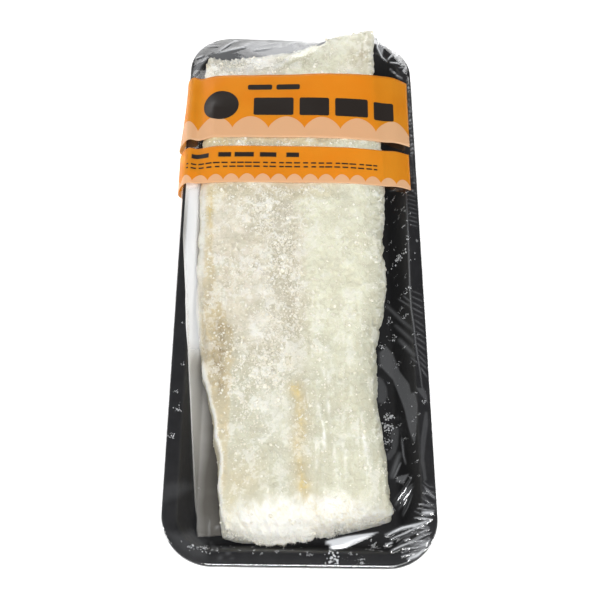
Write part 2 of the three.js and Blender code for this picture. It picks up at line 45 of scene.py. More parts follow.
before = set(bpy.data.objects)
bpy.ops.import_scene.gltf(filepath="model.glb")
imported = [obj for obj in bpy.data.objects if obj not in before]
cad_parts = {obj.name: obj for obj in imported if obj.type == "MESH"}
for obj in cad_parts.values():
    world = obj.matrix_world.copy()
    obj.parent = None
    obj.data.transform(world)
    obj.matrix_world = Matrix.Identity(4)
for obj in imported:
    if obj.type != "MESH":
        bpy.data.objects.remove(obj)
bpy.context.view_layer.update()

MM = 0.001
# Rows and columns in a table of random heights
LATTICE = 64

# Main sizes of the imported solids, in millimetres

TRAY_LOW, TRAY_HIGH = (np.array(corner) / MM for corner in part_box("tray"))
TRAY_X = float(TRAY_LOW[0] + TRAY_HIGH[0]) / 2
HALF_WIDTH = float(TRAY_HIGH[0] - TRAY_LOW[0]) / 2
HALF_LENGTH = float(TRAY_HIGH[1] - TRAY_LOW[1]) / 2
RIM_TOP = float(TRAY_HIGH[2])
TRAY_UNDERSIDE = float(TRAY_LOW[2])
CORNER = 25.5


def tone(red, green, blue):
    """A colour picked as bytes on a screen, as the linear numbers that shaders take."""
    shares = [value / 255 for value in (red, green, blue)]
    return tuple(s / 12.92 if s <= 0.04045 else ((s + 0.055) / 1.055) ** 2.4 for s in shares)


def colour_setting(name, description, red, green, blue):
    """A colour among a step's settings, given as bytes on a screen."""
    start = tone(red, green, blue)
    return FloatVectorProperty(name=name, description=description, subtype="COLOR", default=start)


def length_setting(name, description, millimetres):
    """A length among a step's settings, given in millimetres."""
    start = millimetres * MM
    return FloatProperty(name=name, description=description, default=start, unit="LENGTH")


def number_setting(name, description, start):
    """A plain number among a step's settings, whole if its start is."""
    kind = IntProperty if isinstance(start, int) else FloatProperty
    return kind(name=name, description=description, default=start)


def smooth(low, high, value):
    """Soft step from 0 at low to 1 at high."""
    share = np.clip((value - low) / (high - low), 0.0, 1.0)
    return share * share * (3 - 2 * share)


def window(value, start, full, fade, end):
    """1 from full to fade, falling off softly to 0 at start and end."""
    return smooth(start, full, value) * (1 - smooth(fade, end, value))


def mix(first, second, share):
    """The first value at share 0 and the second at share 1."""
    return first + (second - first) * share


def hill(value, middle, width):
    """1 at a middle value, falling off softly over a width."""
    return np.exp(-(((value - middle) / width) ** 2))


def lattice(seed):
    """A table of random heights from -1 to 1."""
    return np.random.default_rng(seed).uniform(-1, 1, (LATTICE, LATTICE))


def ripple(table, x, y):
    """Smooth noise on a table of heights, one cell of it for each unit of x and y."""
    column = np.floor(x).astype(int)
    row = np.floor(y).astype(int)
    over = smooth(0, 1, x - column)
    up = smooth(0, 1, y - row)
    corners = [table[(column + i) % LATTICE, (row + j) % LATTICE] for j in (0, 1) for i in (0, 1)]
    return mix(mix(corners[0], corners[1], over), mix(corners[2], corners[3], over), up)


def rough(table, x, y, octaves=3):
    """Several ripples on each other, each half as wide and half as high as the last."""
    total = np.zeros_like(x)
    for octave in range(octaves):
        scale = 2.0**octave
        total = total + ripple(table, x * scale + 17 * octave, y * scale + 5 * octave) / scale
    return total


def spot(x, y, middle, width, length):
    """1 at a middle place, falling off softly over a width in x and a length in y."""
    return np.exp(-(((x - middle[0]) / width) ** 2) - ((y - middle[1]) / length) ** 2)


def beside(x, y, path):
    """Distance to the right of a path, seen from its start, and the share run along it."""
    path = np.array(path, float)
    runs = np.diff(path, axis=0)
    lengths = np.linalg.norm(runs, axis=1)
    starts = np.append(0, np.cumsum(lengths))
    nearest = np.full(x.shape, 1e9)
    side = np.zeros(x.shape)
    share = np.zeros(x.shape)
    for start, run, length, begun in zip(path, runs, lengths, starts):
        along = np.clip(((x - start[0]) * run[0] + (y - start[1]) * run[1]) / length**2, 0, 1)
        dx, dy = x - start[0] - along * run[0], y - start[1] - along * run[1]
        away = np.hypot(dx, dy)
        closer = away < nearest
        nearest = np.where(closer, away, nearest)
        side = np.where(closer, np.sign(dx * run[1] - dy * run[0]) * away, side)
        share = np.where(closer, (begun + along * length) / starts[-1], share)
    return side, share


def along_path(x, y, path, width):
    """1 along a path of [x, y] places, falling off over a width beside it and towards its ends."""
    side, share = beside(x, y, path)
    fade = np.clip(4 * share * (1 - share), 0, 1) ** 0.5
    return fade * hill(side, 0, width)


# Meshes


def tree_of(data, join):
    """A mesh's faces, ready for rays; join puts its loose triangles together first."""
    mesh = bmesh.new()
    mesh.from_mesh(data)
    if join:
        bmesh.ops.remove_doubles(mesh, verts=mesh.verts, dist=1e-6)
    tree = BVHTree.FromBMesh(mesh)
    mesh.free()
    return tree


def solid_tree(node):
    """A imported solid, ready for rays."""
    return tree_of(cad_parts[node].data, join=True)


def piece_tree(name):
    """A piece made earlier, ready for rays."""
    return tree_of(bpy.data.objects[name].data, join=False)


def cast(tree, places, directions):
    """Where rays meet a tree, in millimetres; a row is NaN where a ray meets nothing."""
    hits = np.full((len(places), 3), np.nan)
    for index, (place, direction) in enumerate(zip(places * MM, directions)):
        hit = tree.ray_cast(Vector(place), Vector(direction))[0]
        if hit is not None:
            hits[index] = hit
    return hits / MM


def heights(tree, x, y, start=90.0, down=True):
    """Height of a tree under, or over, places of the plan."""
    places = np.column_stack([x.ravel(), y.ravel(), np.full(x.size, start)])
    directions = np.tile([0.0, 0.0, -1.0 if down else 1.0], (x.size, 1))
    return cast(tree, places, directions)[:, 2].reshape(x.shape)


def places_of(mesh):
    """Where a mesh's points are, in millimetres."""
    return np.array([vert.co for vert in mesh.verts]) / MM


def place_all(mesh, places):
    """Moves a mesh's points to places in millimetres."""
    for vert, place in zip(mesh.verts, places * MM):
        vert.co = place


def new_grid(columns, rows):
    """A flat grid with the shares of its width and length at which its points lie."""
    mesh = bmesh.new()
    bmesh.ops.create_grid(mesh, x_segments=columns, y_segments=rows, size=1.0)
    flat = np.array([vert.co for vert in mesh.verts])
    return mesh, (flat[:, 0] + 1) / 2, (flat[:, 1] + 1) / 2


def extruded(mesh, edges):
    """Extrudes edges in place. Gives the new edges and their points."""
    made = bmesh.ops.extrude_edge_only(mesh, edges=edges)["geom"]
    edges = [item for item in made if isinstance(item, bmesh.types.BMEdge)]
    return edges, {vert for edge in edges for vert in edge.verts}


def push_out(mesh, distance):
    """Moves each vertex along its normal by its own distance."""
    mesh.normal_update()
    normals = np.array([vert.normal for vert in mesh.verts])
    place_all(mesh, places_of(mesh) + normals * distance[:, None])


def finish_mesh(mesh, name):
    """The mesh data of a finished piece, with outward normals and smooth shading."""
    bmesh.ops.recalc_face_normals(mesh, faces=mesh.faces)
    for face in mesh.faces:
        face.smooth = True
    data = bpy.data.meshes.new(name)
    mesh.to_mesh(data)
    mesh.free()
    return data


def add_piece(name, data, material, stands_for=()):
    """Adds a piece that rides on the pack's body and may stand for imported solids."""
    piece = bpy.data.objects.new(name, data)
    data.materials.append(material)
    bpy.context.scene.collection.objects.link(piece)
    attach(piece, "root")
    if stands_for:
        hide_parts(*stands_for)


def set_attribute(data, name, values):
    """Stores one number for each point of a mesh."""
    layer = data.attributes.new(name, "FLOAT", "POINT")
    layer.data.foreach_set("value", np.asarray(values, np.float32))


def joined_copies(shape, places, turns, sizes):
    """One mesh of many copies of a small shape, each with its own place, turn and size."""
    corners, faces = shape
    points = corners[None] * sizes[:, None]
    points = np.einsum("nij,nkj->nki", turns, points) + places[:, None]
    shifts = np.arange(len(places))[:, None, None] * len(corners)
    return points.reshape(-1, 3), (faces[None] + shifts).reshape(-1, 3)


def units(vectors):
    """The same directions, each with a length of 1."""
    return vectors / np.linalg.norm(vectors, axis=1)[:, None]


def random_turns(random, count):
    """Even random rotations, as matrices."""
    w, x, y, z = units(random.normal(size=(count, 4))).T
    rows = [
        [1 - 2 * (y * y + z * z), 2 * (x * y - z * w), 2 * (x * z + y * w)],
        [2 * (x * y + z * w), 1 - 2 * (x * x + z * z), 2 * (y * z - x * w)],
        [2 * (x * z - y * w), 2 * (y * z + x * w), 1 - 2 * (x * x + y * y)],
    ]
    return np.array(rows).transpose(2, 0, 1)


def mesh_from_copies(name, points, faces, smooth_faces=False):
    """The mesh data of many small copies."""
    data = bpy.data.meshes.new(name)
    data.from_pydata((points * MM).tolist(), [], faces.tolist())
    data.polygons.foreach_set("use_smooth", [smooth_faces] * len(faces))
    data.update()
    return data


# Materials


def sum_of(operation, swapped=False):
    """A method of Value that adds one of the shader's plain sums to a material."""

    def method(value, *others):
        inputs = (*others, value) if swapped else (value, *others)
        return value.finish.node("ShaderNodeMath", inputs, operation=operation)

    return method


class Value:
    """A shader socket that takes part in plain arithmetic."""

    def __init__(self, finish, socket):
        self.finish = finish
        self.socket = socket

    __add__ = __radd__ = sum_of("ADD")
    __sub__ = sum_of("SUBTRACT")
    __rsub__ = sum_of("SUBTRACT", swapped=True)
    __mul__ = __rmul__ = sum_of("MULTIPLY")
    __truediv__ = sum_of("DIVIDE")
    __pow__ = sum_of("POWER")
    size = sum_of("ABSOLUTE")
    whole = sum_of("FLOOR")
    part = sum_of("FRACT")
    wave = sum_of("SINE")
    most = sum_of("MAXIMUM")
    least = sum_of("MINIMUM")

    def step(self, low, high):
        """0 below low and 1 above high, with a soft change between them."""
        inputs = {"Value": self, "From Min": low, "From Max": high}
        return self.finish.node("ShaderNodeMapRange", inputs, interpolation_type="SMOOTHSTEP")


class Finish:
    """One material and the nodes that make it."""

    def __init__(self, name):
        self.material = bpy.data.materials.new(name)
        self.material.use_nodes = True
        self.tree = self.material.node_tree
        self.tree.nodes.clear()
        self.place = self.node("ShaderNodeTexCoord", output="Object")

    def node(self, kind, inputs=(), output=0, **settings):
        """Adds a node and gives one of its outputs; inputs are numbers, colours or other values."""
        made = self.tree.nodes.new(kind)
        for name, value in settings.items():
            setattr(made, name, value)
        pairs = inputs.items() if isinstance(inputs, dict) else enumerate(inputs)
        for key, value in pairs:
            if isinstance(value, Value):
                self.tree.links.new(value.socket, made.inputs[key])
            else:
                made.inputs[key].default_value = value
        return Value(self, made.outputs[output])

    def blend(self, share, first, second):
        """A colour between two colours; each is three numbers or a socket."""
        colours = [c if isinstance(c, Value) else (*c, 1.0) for c in (first, second)]
        inputs = {0: share, 6: colours[0], 7: colours[1]}
        return self.node("ShaderNodeMix", inputs, output=2, data_type="RGBA")

    def layered(self, colour, *layers):
        """A colour with others laid over it in turn, each given as its share and colour."""
        for share, over in layers:
            colour = self.blend(share, colour, over)
        return colour

    def mixed(self, share, first, second):
        """A shader between two shaders."""
        return self.node("ShaderNodeMixShader", {0: share, 1: first, 2: second})

    def moved(self, place, by, operation):
        """Places multiplied, added to or taken from, one axis at a time."""
        return self.node("ShaderNodeVectorMath", [place, by], operation=operation)

    def stretched(self, x, y, z):
        """Object places stretched along the axes, so that a pattern is longer one way."""
        return self.moved(self.place, (x, y, z), "MULTIPLY")

    def noise(self, size, detail=2.0, roughness=0.5, vector=None, warp=0.0):
        """Cloudy noise from 0 to 1 whose features are about size metres wide."""
        inputs = {
            "Vector": vector or self.place,
            "Scale": 1 / size,
            "Detail": detail,
            "Roughness": roughness,
            "Distortion": warp,
        }
        return self.node("ShaderNodeTexNoise", inputs)

    def slanted(self, angle, share):
        """Object places turned about +Z and squeezed, so that a pattern runs aslant."""
        inputs = {"Vector": self.place, "Angle": angle}
        turned = self.node("ShaderNodeVectorRotate", inputs, rotation_type="Z_AXIS")
        return self.moved(turned, (1, share, 1), "MULTIPLY")

    def warped(self, size, reach):
        """Object places pushed about by cloudy noise, for ragged outlines."""
        inputs = {"Vector": self.place, "Scale": 1 / size, "Detail": 3.0}
        cloud = self.node("ShaderNodeTexNoise", inputs, output=1)
        shift = self.moved(cloud, (0.5, 0.5, 0.5), "SUBTRACT")
        shift = self.moved(shift, (reach, reach, reach), "MULTIPLY")
        return self.moved(self.place, shift, "ADD")

    def cells(self, size, vector=None, feature="F1", output="Distance", smoothness=None):
        """A pattern of uneven cells about size metres wide."""
        inputs = {"Vector": vector or self.place, "Scale": 1 / size}
        if smoothness is not None:
            inputs["Smoothness"] = smoothness
        return self.node("ShaderNodeTexVoronoi", inputs, output=output, feature=feature)

    def part_of(self, vector, index):
        """One of the three numbers of a vector or colour."""
        return self.node("ShaderNodeSeparateXYZ", [vector], output=index)

    def attribute(self, name):
        """A number that the mesh stores at its points."""
        return self.node("ShaderNodeAttribute", output="Fac", attribute_name=name)

    def bump(self, height, distance, strength):
        """Normals bent by heights from 0 to 1 that stand for a distance in metres."""
        inputs = {"Height": height, "Distance": distance, "Strength": strength}
        return self.node("ShaderNodeBump", inputs)

    def node_output(self, shader):
        """Makes a shader the material's surface, and gives the material."""
        output = self.tree.nodes.new("ShaderNodeOutputMaterial")
        self.tree.links.new(shader.socket, output.inputs["Surface"])
        return self.material

    def surface(self, **inputs):
        """Makes a Principled shader the material's surface, and gives the material."""
        return self.node_output(self.body(**inputs))

    def body(self, **inputs):
        """A Principled shader; an underscore in a name stands for a space."""
        named = {}
        for name, value in inputs.items():
            key = name.replace("_", " ").title().replace("Ior", "IOR")
            if key.endswith("Color") and not isinstance(value, Value):
                value = (*value[:3], 1.0)
            named[key] = value
        return self.node("ShaderNodeBsdfPrincipled", named)


def foam_finish(settings):
    """Black foam with a faint pattern of beads."""
    finish = Finish("black_foam")
    beads = finish.cells(2.2 * MM, feature="SMOOTH_F1")
    skin = finish.noise(9 * MM, 3.0)
    colour = finish.blend(beads.step(0.2, 0.9) * 0.5 + skin * 0.3, settings.colour, settings.worn)
    grain = finish.noise(0.5 * MM, 2.0)
    height = beads * 0.7 + grain * 0.3
    return finish.surface(
        base_color=colour,
        roughness=skin.step(0.3, 0.8) * 0.14 + 0.4,
        specular_ior_level=0.4,
        normal=finish.bump(height, 0.25 * MM, 0.35),
    )


def fleece_finish(settings):
    """White fleece with pressed dots, greyer where it is damp and where shade is painted on it."""
    finish = Finish("white_fleece")
    fibres = finish.noise(0.7 * MM, 4.0, 0.7, warp=1.2)
    cloud = finish.noise(14 * MM, 2.0)
    pressed_dots = finish.cells(3.4 * MM).step(0.1, 0.26)
    colour = finish.layered(
        settings.colour,
        (cloud * 0.06 + fibres * 0.05, settings.damp_and_shade),
        # Damp places and painted shade, stored at the points
        (finish.attribute("damp_and_shade") * (0.9 + 0.2 * cloud), settings.damp_and_shade),
    )
    height = fibres * 0.35 + pressed_dots * 0.65
    return finish.surface(
        base_color=colour,
        roughness=0.75,
        specular_ior_level=0.3,
        sheen_weight=0.15,
        normal=finish.bump(height, 0.2 * MM, 0.4),
    )


def flesh_finish(settings):
    """Flaky flesh whose tones follow the numbers stored at its points, with painted shade in its
    hollows, along its right edge and under the printed strips.
    """
    finish = Finish("salted_flesh")
    tan, frayed, crest, salted, fibrous = map(
        finish.attribute, ("tan", "frayed", "crest", "salted", "fibrous")
    )
    mottle = finish.noise(6 * MM, 4.0, 0.6, warp=0.6)
    grains = finish.noise(1.4 * MM, 3.0, 0.65)
    flecks = finish.noise(2.4 * MM, 4.0, 0.65, warp=1.0)
    threads = finish.noise(2.4 * MM, 3.0, 0.6, vector=finish.stretched(1, 0.07, 1), warp=0.9)
    strands = finish.noise(2.2 * MM, 4.0, 0.65, vector=finish.slanted(-0.7, 0.3), warp=1.6)
    ragged = finish.warped(3 * MM, 5 * MM)
    flakes = finish.cells(3.6 * MM, ragged, "SMOOTH_F1", "Color", smoothness=0.35)
    flake_grey, flake_pink, flake_rise = (finish.part_of(flakes, index) for index in (0, 1, 2))
    seam = finish.cells(3.6 * MM, ragged, "DISTANCE_TO_EDGE").step(0.02, 0.2)
    # Painted shade where the relief is low, and whiter where it is high
    hollow_shade = (1.0 - (crest * 0.7 + grains * 0.4).step(0.38, 0.53)) * (1.0 - frayed)
    seams = (1.0 - seam) * flecks.step(0.4, 0.62) * (1.0 - frayed)
    raised = (crest * 0.4 + flecks * 0.5 + grains * 0.2).step(0.57, 0.66)
    yellowed = strands.step(0.48, 0.64) * 0.45 + mottle.step(0.5, 0.68) * 0.4
    fluff = finish.layered(
        settings.snow, (yellowed, settings.straw), (finish.attribute("white_end"), settings.snow)
    )
    colour = finish.layered(
        settings.colour,
        (mottle.step(0.35, 0.7) * 0.5, settings.grey),
        (flake_grey.step(0.45, 0.8) * (0.3 + 0.3 * salted), settings.green),
        (flake_pink.step(0.45, 0.85) * 0.4, settings.pink),
        # Grey tones, with painted shade along the right edge
        (finish.attribute("grey") * (0.5 + 0.7 * mottle), settings.grey),
        (finish.attribute("loin") * (0.75 + 0.25 * mottle), settings.loin),
        # Duller green-grey, with painted shade along the right edge and under the printed strips
        (finish.attribute("dull") * (0.8 + 0.4 * mottle), settings.green),
        # Tan side band, with the printed strips' painted shade
        (tan * (0.75 + 0.5 * mottle).least(1.0), settings.tan),
        (finish.attribute("brown") * (0.35 + 0.65 * mottle.step(0.3, 0.55)), settings.brown),
        (finish.attribute("amber") * flecks.step(0.25, 0.6), settings.amber),
        # Painted shade in the hollows of the relief
        (hollow_shade * (0.2 + 0.45 * salted + 0.2 * tan), settings.hollow_shade_and_seams),
        (fibrous * (1.0 - threads.step(0.34, 0.5)) * 0.2, settings.hollow_shade_and_seams),
        (seams * (0.2 + 0.25 * salted), settings.hollow_shade_and_seams),
        # Whiter on raised crests and flecks: salt, and partly a painted highlight on the tops of the
        # relief
        (raised * (0.3 + 0.5 * salted), settings.snow),
        (finish.attribute("snow") * flecks.step(0.3, 0.46), settings.snow),
        (fibrous * threads.step(0.54, 0.7) * 0.3, settings.snow),
        (frayed * (0.8 + 0.2 * mottle), fluff),
    )
    height = grains * 0.3 + flecks * 0.5 + threads * fibrous * 0.2 + strands * frayed * 0.4
    height = height + seam * 0.25 + flake_rise * 0.3
    return finish.surface(
        base_color=colour,
        roughness=grains.step(0.3, 0.7) * 0.2 + 0.48,
        specular_ior_level=0.4,
        subsurface_weight=0.25,
        subsurface_radius=(1.0, 0.85, 0.6),
        subsurface_scale=2.0 * MM,
        normal=finish.bump(height, 0.8 * MM, 0.55),
    )


def salt_finish(settings, name):
    """Frosted white salt, some of it tinted."""
    finish = Finish(name)
    tint = finish.noise(6 * MM, 2.0)
    each = finish.noise(1.1 * MM, 1.0)
    frost = finish.noise(0.4 * MM, 2.0)
    tinted = tint.step(0.35, 0.7) * 0.5 + each.step(0.4, 0.6) * 0.5
    colour = finish.blend(tinted, settings.salt, settings.salt_cream)
    return finish.surface(
        base_color=colour,
        roughness=frost.step(0.3, 0.7) * 0.2 + 0.4,
        specular_ior_level=0.4,
        subsurface_weight=0.3,
        subsurface_radius=(1.0, 1.0, 0.9),
        subsurface_scale=1.0 * MM,
        normal=finish.bump(frost, 0.1 * MM, 0.3),
    )


def fibre_finish(settings):
    """White fibres, creamier here and there."""
    finish = Finish("flesh_fibres")
    tint = finish.noise(7 * MM, 2.0)
    colour = finish.blend(tint.step(0.4, 0.75), settings.fibre, settings.salt_cream)
    return finish.surface(
        base_color=colour,
        roughness=0.5,
        subsurface_weight=0.2,
        subsurface_radius=(1.0, 0.9, 0.8),
        subsurface_scale=1.0 * MM,
    )


def film_finish(settings):
    """Clear film with a mirror sheen that grows at a slant, and milky white where it is crumpled; that
    milky white is also a painted highlight along creases and a painted reflection on flat patches.
    """
    finish = Finish("stretch_film")
    dimples = finish.noise(7 * MM, 3.0, 0.55, warp=0.4)
    creases = finish.noise(2.4 * MM, 2.0, 0.5, vector=finish.stretched(1, 0.3, 1))
    # Milky white along creases and patches: crumpled film, and painted highlights and reflections
    haze_and_glints = finish.attribute("haze_and_glints")
    normal = finish.bump(dimples * 0.8 + creases * 0.2, 0.5 * MM, settings.waviness)
    gloss = finish.node(
        "ShaderNodeBsdfGlossy", {"Color": (1, 1, 1, 1), "Roughness": 0.07, "Normal": normal}
    )
    milk_and_glints = finish.node("ShaderNodeBsdfDiffuse", {"Color": (0.9, 0.92, 0.95, 1)})
    clear = finish.node("ShaderNodeBsdfTransparent", {"Color": (0.985, 0.985, 0.985, 1)})
    facing = finish.node("ShaderNodeLayerWeight", {"Blend": 0.5, "Normal": normal}, output=1)
    mirror = 0.075 + 0.9 * facing**3.5
    base = finish.mixed(haze_and_glints * settings.haze_and_glints, clear, milk_and_glints)
    return finish.node_output(finish.mixed((mirror * settings.shine).least(1.0), base, gloss))


def print_finish(settings, name, draw):
    """Ink on a thin strip. draw gives the shares of pale ink and of dark ink at places in mm."""
    finish = Finish(name)
    sheet = finish.node("ShaderNodeUVMap", uv_map="print")
    across, along = (finish.part_of(sheet, index) for index in (0, 1))
    pale, dark = draw(across, along)
    fade = finish.noise(30 * MM, 2.0)
    colour = finish.layered(
        settings.orange,
        (fade.step(0.3, 0.8), settings.deep_orange),
        (pale, settings.peach),
        (dark, settings.ink),
    )
    ink = finish.body(
        base_color=colour,
        roughness=fade.step(0.2, 0.9) * 0.1 + 0.33,
        specular_ior_level=0.45,
        normal=finish.bump(finish.noise(6 * MM, 2.0), 0.4 * MM, 0.3),
    )
    glow = finish.node("ShaderNodeBsdfTranslucent", {"Color": colour})
    clear = finish.node("ShaderNodeBsdfTransparent", {"Color": (1.0, 0.7, 0.24, 1)})
    thin = settings.clear * (1.0 - 0.3 * pale) * (1.0 - dark)
    return finish.node_output(finish.mixed(thin, finish.mixed(settings.glow, ink, glow), clear))


def bar(across, along, middle, height, start, end):
    """A dark bar with soft corners from start to end along the strip."""
    half = (end - start) / 2
    past_end = ((across - (start + half)).size() - (half - 1.2)).most(0.0)
    past_side = ((along - middle).size() - (height / 2 - 1.2)).most(0.0)
    away = (past_end * past_end + past_side * past_side) ** 0.5
    return 1.0 - away.step(1.1, 1.3)


def scallops(across, along, pitch, base, height):
    """Rows of rounded hills that rise from the strip's near edge."""
    hills = (across * (math.pi / pitch)).wave().size() ** 0.7
    return 1.0 - (along - (base + height * hills)).step(-0.12, 0.12)


def draw_wide(across, along):
    """The wide strip's print: scallops, a disc and six bars."""
    pale = scallops(across, along, 21.0, 6.5, 8.5)
    from_disc = ((across - 112.5) ** 2.0 + (along - 23.5) ** 2.0) ** 0.5
    dark = 1.0 - from_disc.step(10.6, 10.8)
    for start, end, middle, height in (
        (10.0, 22.0, 21.5, 13.0),
        (25.5, 45.0, 22.5, 13.0),
        (48.5, 66.0, 22.5, 13.0),
        (69.5, 93.0, 22.5, 13.0),
        (66.0, 80.0, 37.0, 4.0),
        (82.5, 97.0, 37.0, 4.0),
    ):
        dark = dark.most(bar(across, along, middle, height, start, end))
    return pale, dark


def words(across, along, middle, height, length, start, end):
    """A line of short dark bars of uneven lengths, like words too small to read."""
    cell = across / length
    seed = {"W": cell.whole() + middle}
    chance = across.finish.node("ShaderNodeTexWhiteNoise", seed, noise_dimensions="1D")
    ink = 1.0 - (cell.part() - (0.55 + 0.35 * chance)).step(-0.03, 0.03)
    line = 1.0 - (along - middle).size().step(height * 0.42, height * 0.58)
    inside = across.step(start - 0.3, start) * (1.0 - across.step(end, end + 0.3))
    return ink * line * inside


def draw_narrow(across, along):
    """The narrow strip's print: scallops, a row of bars and two rows of fine dashes."""
    pale = scallops(across, along, 9.0, 1.6, 4.2)
    dark = words(across, along, 18.6, 3.2, 13.0, 62.0, 130.0)
    for middle in (13.2, 10.6):
        dark = dark.most(words(across, along, middle, 1.0, 4.6, 20.0, 130.0))
    return pale, dark


# Tray


class TraySettings(bpy.types.PropertyGroup):
    colour: colour_setting("Foam", "Black of the foam", 24, 24, 26)
    worn: colour_setting("Bead edges", "Grey between the beads", 34, 34, 37)
    lip: length_setting("Lip", "Thickness of the rim", 3.5)
    flange: length_setting("Flange", "Width of the flat rim", 5.6)
    segments: number_setting("Corner segments", "Faces round a corner", 18)


# Slope of the walls in degrees, rounding of the rim, and height of the floor
WALL_SLOPE = 68.7
RIM_ROUNDING = 0.9
FLOOR_TOP = 4.2


def bend_steps(radius, start, end, steps):
    """Moves inwards and down along an arc, as [inwards, down], between two slopes in degrees."""
    moves = []
    for index in range(steps):
        slopes = [math.radians(mix(start, end, (index + k) / steps)) for k in (0, 1)]
        inwards = radius * abs(math.sin(slopes[1]) - math.sin(slopes[0]))
        down = radius * abs(math.cos(slopes[1]) - math.cos(slopes[0]))
        moves.append([inwards, down])
    return moves


def wall_moves(first, last, height):
    """Moves down a wall in all: a first bend, a straight slope and a last bend."""
    drop = height - sum(move[1] for move in first + last)
    return [*first, [drop / math.tan(math.radians(WALL_SLOPE)), drop], *last]


def follow(mesh, face, moves, towards):
    """Insets a face again and again, each time moving it along its normal or against it."""
    for inwards, down in moves:
        bmesh.ops.inset_region(
            mesh, faces=[face], thickness=inwards * MM, depth=towards * down * MM, use_even_offset=True
        )


def climb(edge):
    """How much one end of an edge is higher than the other, in metres."""
    return abs(edge.verts[0].co.z - edge.verts[1].co.z)


def bevel(mesh, edges, offset, segments):
    """Rounds edges by an offset in millimetres."""
    bmesh.ops.bevel(
        mesh, geom=edges, offset=offset * MM, segments=segments, profile=0.5, material=-1, affect="EDGES"
    )


def build_tray(settings):
    """A rounded slab as thick as the rim, sunk from above and drawn down below."""
    mesh = bmesh.new()
    bmesh.ops.create_cube(mesh, size=1.0)
    lip = settings.lip / MM
    size = Matrix.Diagonal((2 * HALF_WIDTH * MM, 2 * HALF_LENGTH * MM, lip * MM, 1))
    place = Matrix.Translation((TRAY_X * MM, 0, (RIM_TOP - lip / 2) * MM))
    bmesh.ops.transform(mesh, matrix=place @ size, verts=mesh.verts)
    upright = [edge for edge in mesh.edges if climb(edge) > lip * MM / 2]
    bevel(mesh, upright, CORNER, settings.segments)
    bevel(mesh, [edge for edge in mesh.edges if climb(edge) < 1e-6], RIM_ROUNDING, 4)
    mesh.normal_update()
    top = max(mesh.faces, key=lambda face: face.calc_center_median().z * face.calc_area())
    base = max(mesh.faces, key=lambda face: -face.normal.z * face.calc_area())
    brink = [[settings.flange / MM - RIM_ROUNDING, 0.0], *bend_steps(2.6, 0, WALL_SLOPE, 5)]
    follow(mesh, top, wall_moves(brink, bend_steps(4.0, WALL_SLOPE, 0, 6), RIM_TOP - FLOOR_TOP), -1)
    brink = [[1.6, 0.0], *bend_steps(1.8, 0, WALL_SLOPE, 3)]
    height = RIM_TOP - lip - TRAY_UNDERSIDE
    follow(mesh, base, wall_moves(brink, bend_steps(2.5, WALL_SLOPE, 0, 4), height), 1)
    return finish_mesh(mesh, "tray_foam")


class FISHPACK_OT_tray(bpy.types.Operator):
    """Black foam tray with a flat rim and sloping walls"""

    bl_idname = "fishpack.tray"
    bl_label = "Foam tray"

    def execute(self, context):
        settings = context.scene.fishpack_tray
        data = build_tray(settings)
        add_piece("tray_foam", data, foam_finish(settings), ("tray",))
        return {"FINISHED"}


# Pad


class PadSettings(bpy.types.PropertyGroup):
    colour: colour_setting("Fleece", "White of the pad", 253, 252, 250)
    # Grey of damp fleece, also painted as shade low down beside the fish and in a fold by the rim
    damp_and_shade: colour_setting("Damp fleece", "Greyer places", 110, 107, 101)
    thickness: length_setting("Thickness", "Thickness of the pad", 1.1)


PAD_NEAR_LEFT = np.array([-50.4, -146.0])
PAD_ON_RIM = np.array([-66.0, 18.0])
PAD_FAR = 62.0
PAD_WIDTH = 86.0
# Share of the pad's length at which its left edge turns along the rim
PAD_BEND = 0.79


def build_pad(settings):
    """A sheet whose plan is the pad's outline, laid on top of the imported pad."""
    mesh, u, v = new_grid(150, 130)
    lengthwise = (PAD_ON_RIM - PAD_NEAR_LEFT) / np.linalg.norm(PAD_ON_RIM - PAD_NEAR_LEFT)
    right = np.array([lengthwise[1], -lengthwise[0]])
    far_left = np.array([PAD_ON_RIM[0], PAD_FAR])
    share = v[:, None]
    low = mix(PAD_NEAR_LEFT, PAD_ON_RIM, share / PAD_BEND)
    high = mix(PAD_ON_RIM, far_left, (share - PAD_BEND) / (1 - PAD_BEND))
    left = np.where(share < PAD_BEND, low, high)
    spread = 0.25 + (PAD_WIDTH - 0.5) * u**1.5
    plan = left + right * spread[:, None] + lengthwise * mix(0.3, -0.3, share)
    plan[:, 0] += TRAY_X
    z = heights(solid_tree("pad"), plan[:, 0], plan[:, 1])
    known = np.isfinite(z)
    for index in np.flatnonzero(~known):
        away = np.hypot(*(plan[known] - plan[index]).T)
        z[index] = z[known][np.argmin(away)]
    place_all(mesh, np.column_stack([plan, z]))
    for _ in range(6):
        bmesh.ops.smooth_vert(mesh, verts=mesh.verts, factor=0.5, use_axis_z=True)
    places = places_of(mesh)
    places[:, 2] += 0.35 * ripple(lattice(31), places[:, 0] / 9, places[:, 1] / 26)
    place_all(mesh, places)
    bmesh.ops.recalc_face_normals(mesh, faces=mesh.faces)
    mesh.normal_update()
    if mesh.faces[0].normal.z < 0:
        bmesh.ops.reverse_faces(mesh, faces=mesh.faces)
    bmesh.ops.solidify(mesh, geom=mesh.faces, thickness=settings.thickness)
    return finish_mesh(mesh, "pad_fleece")


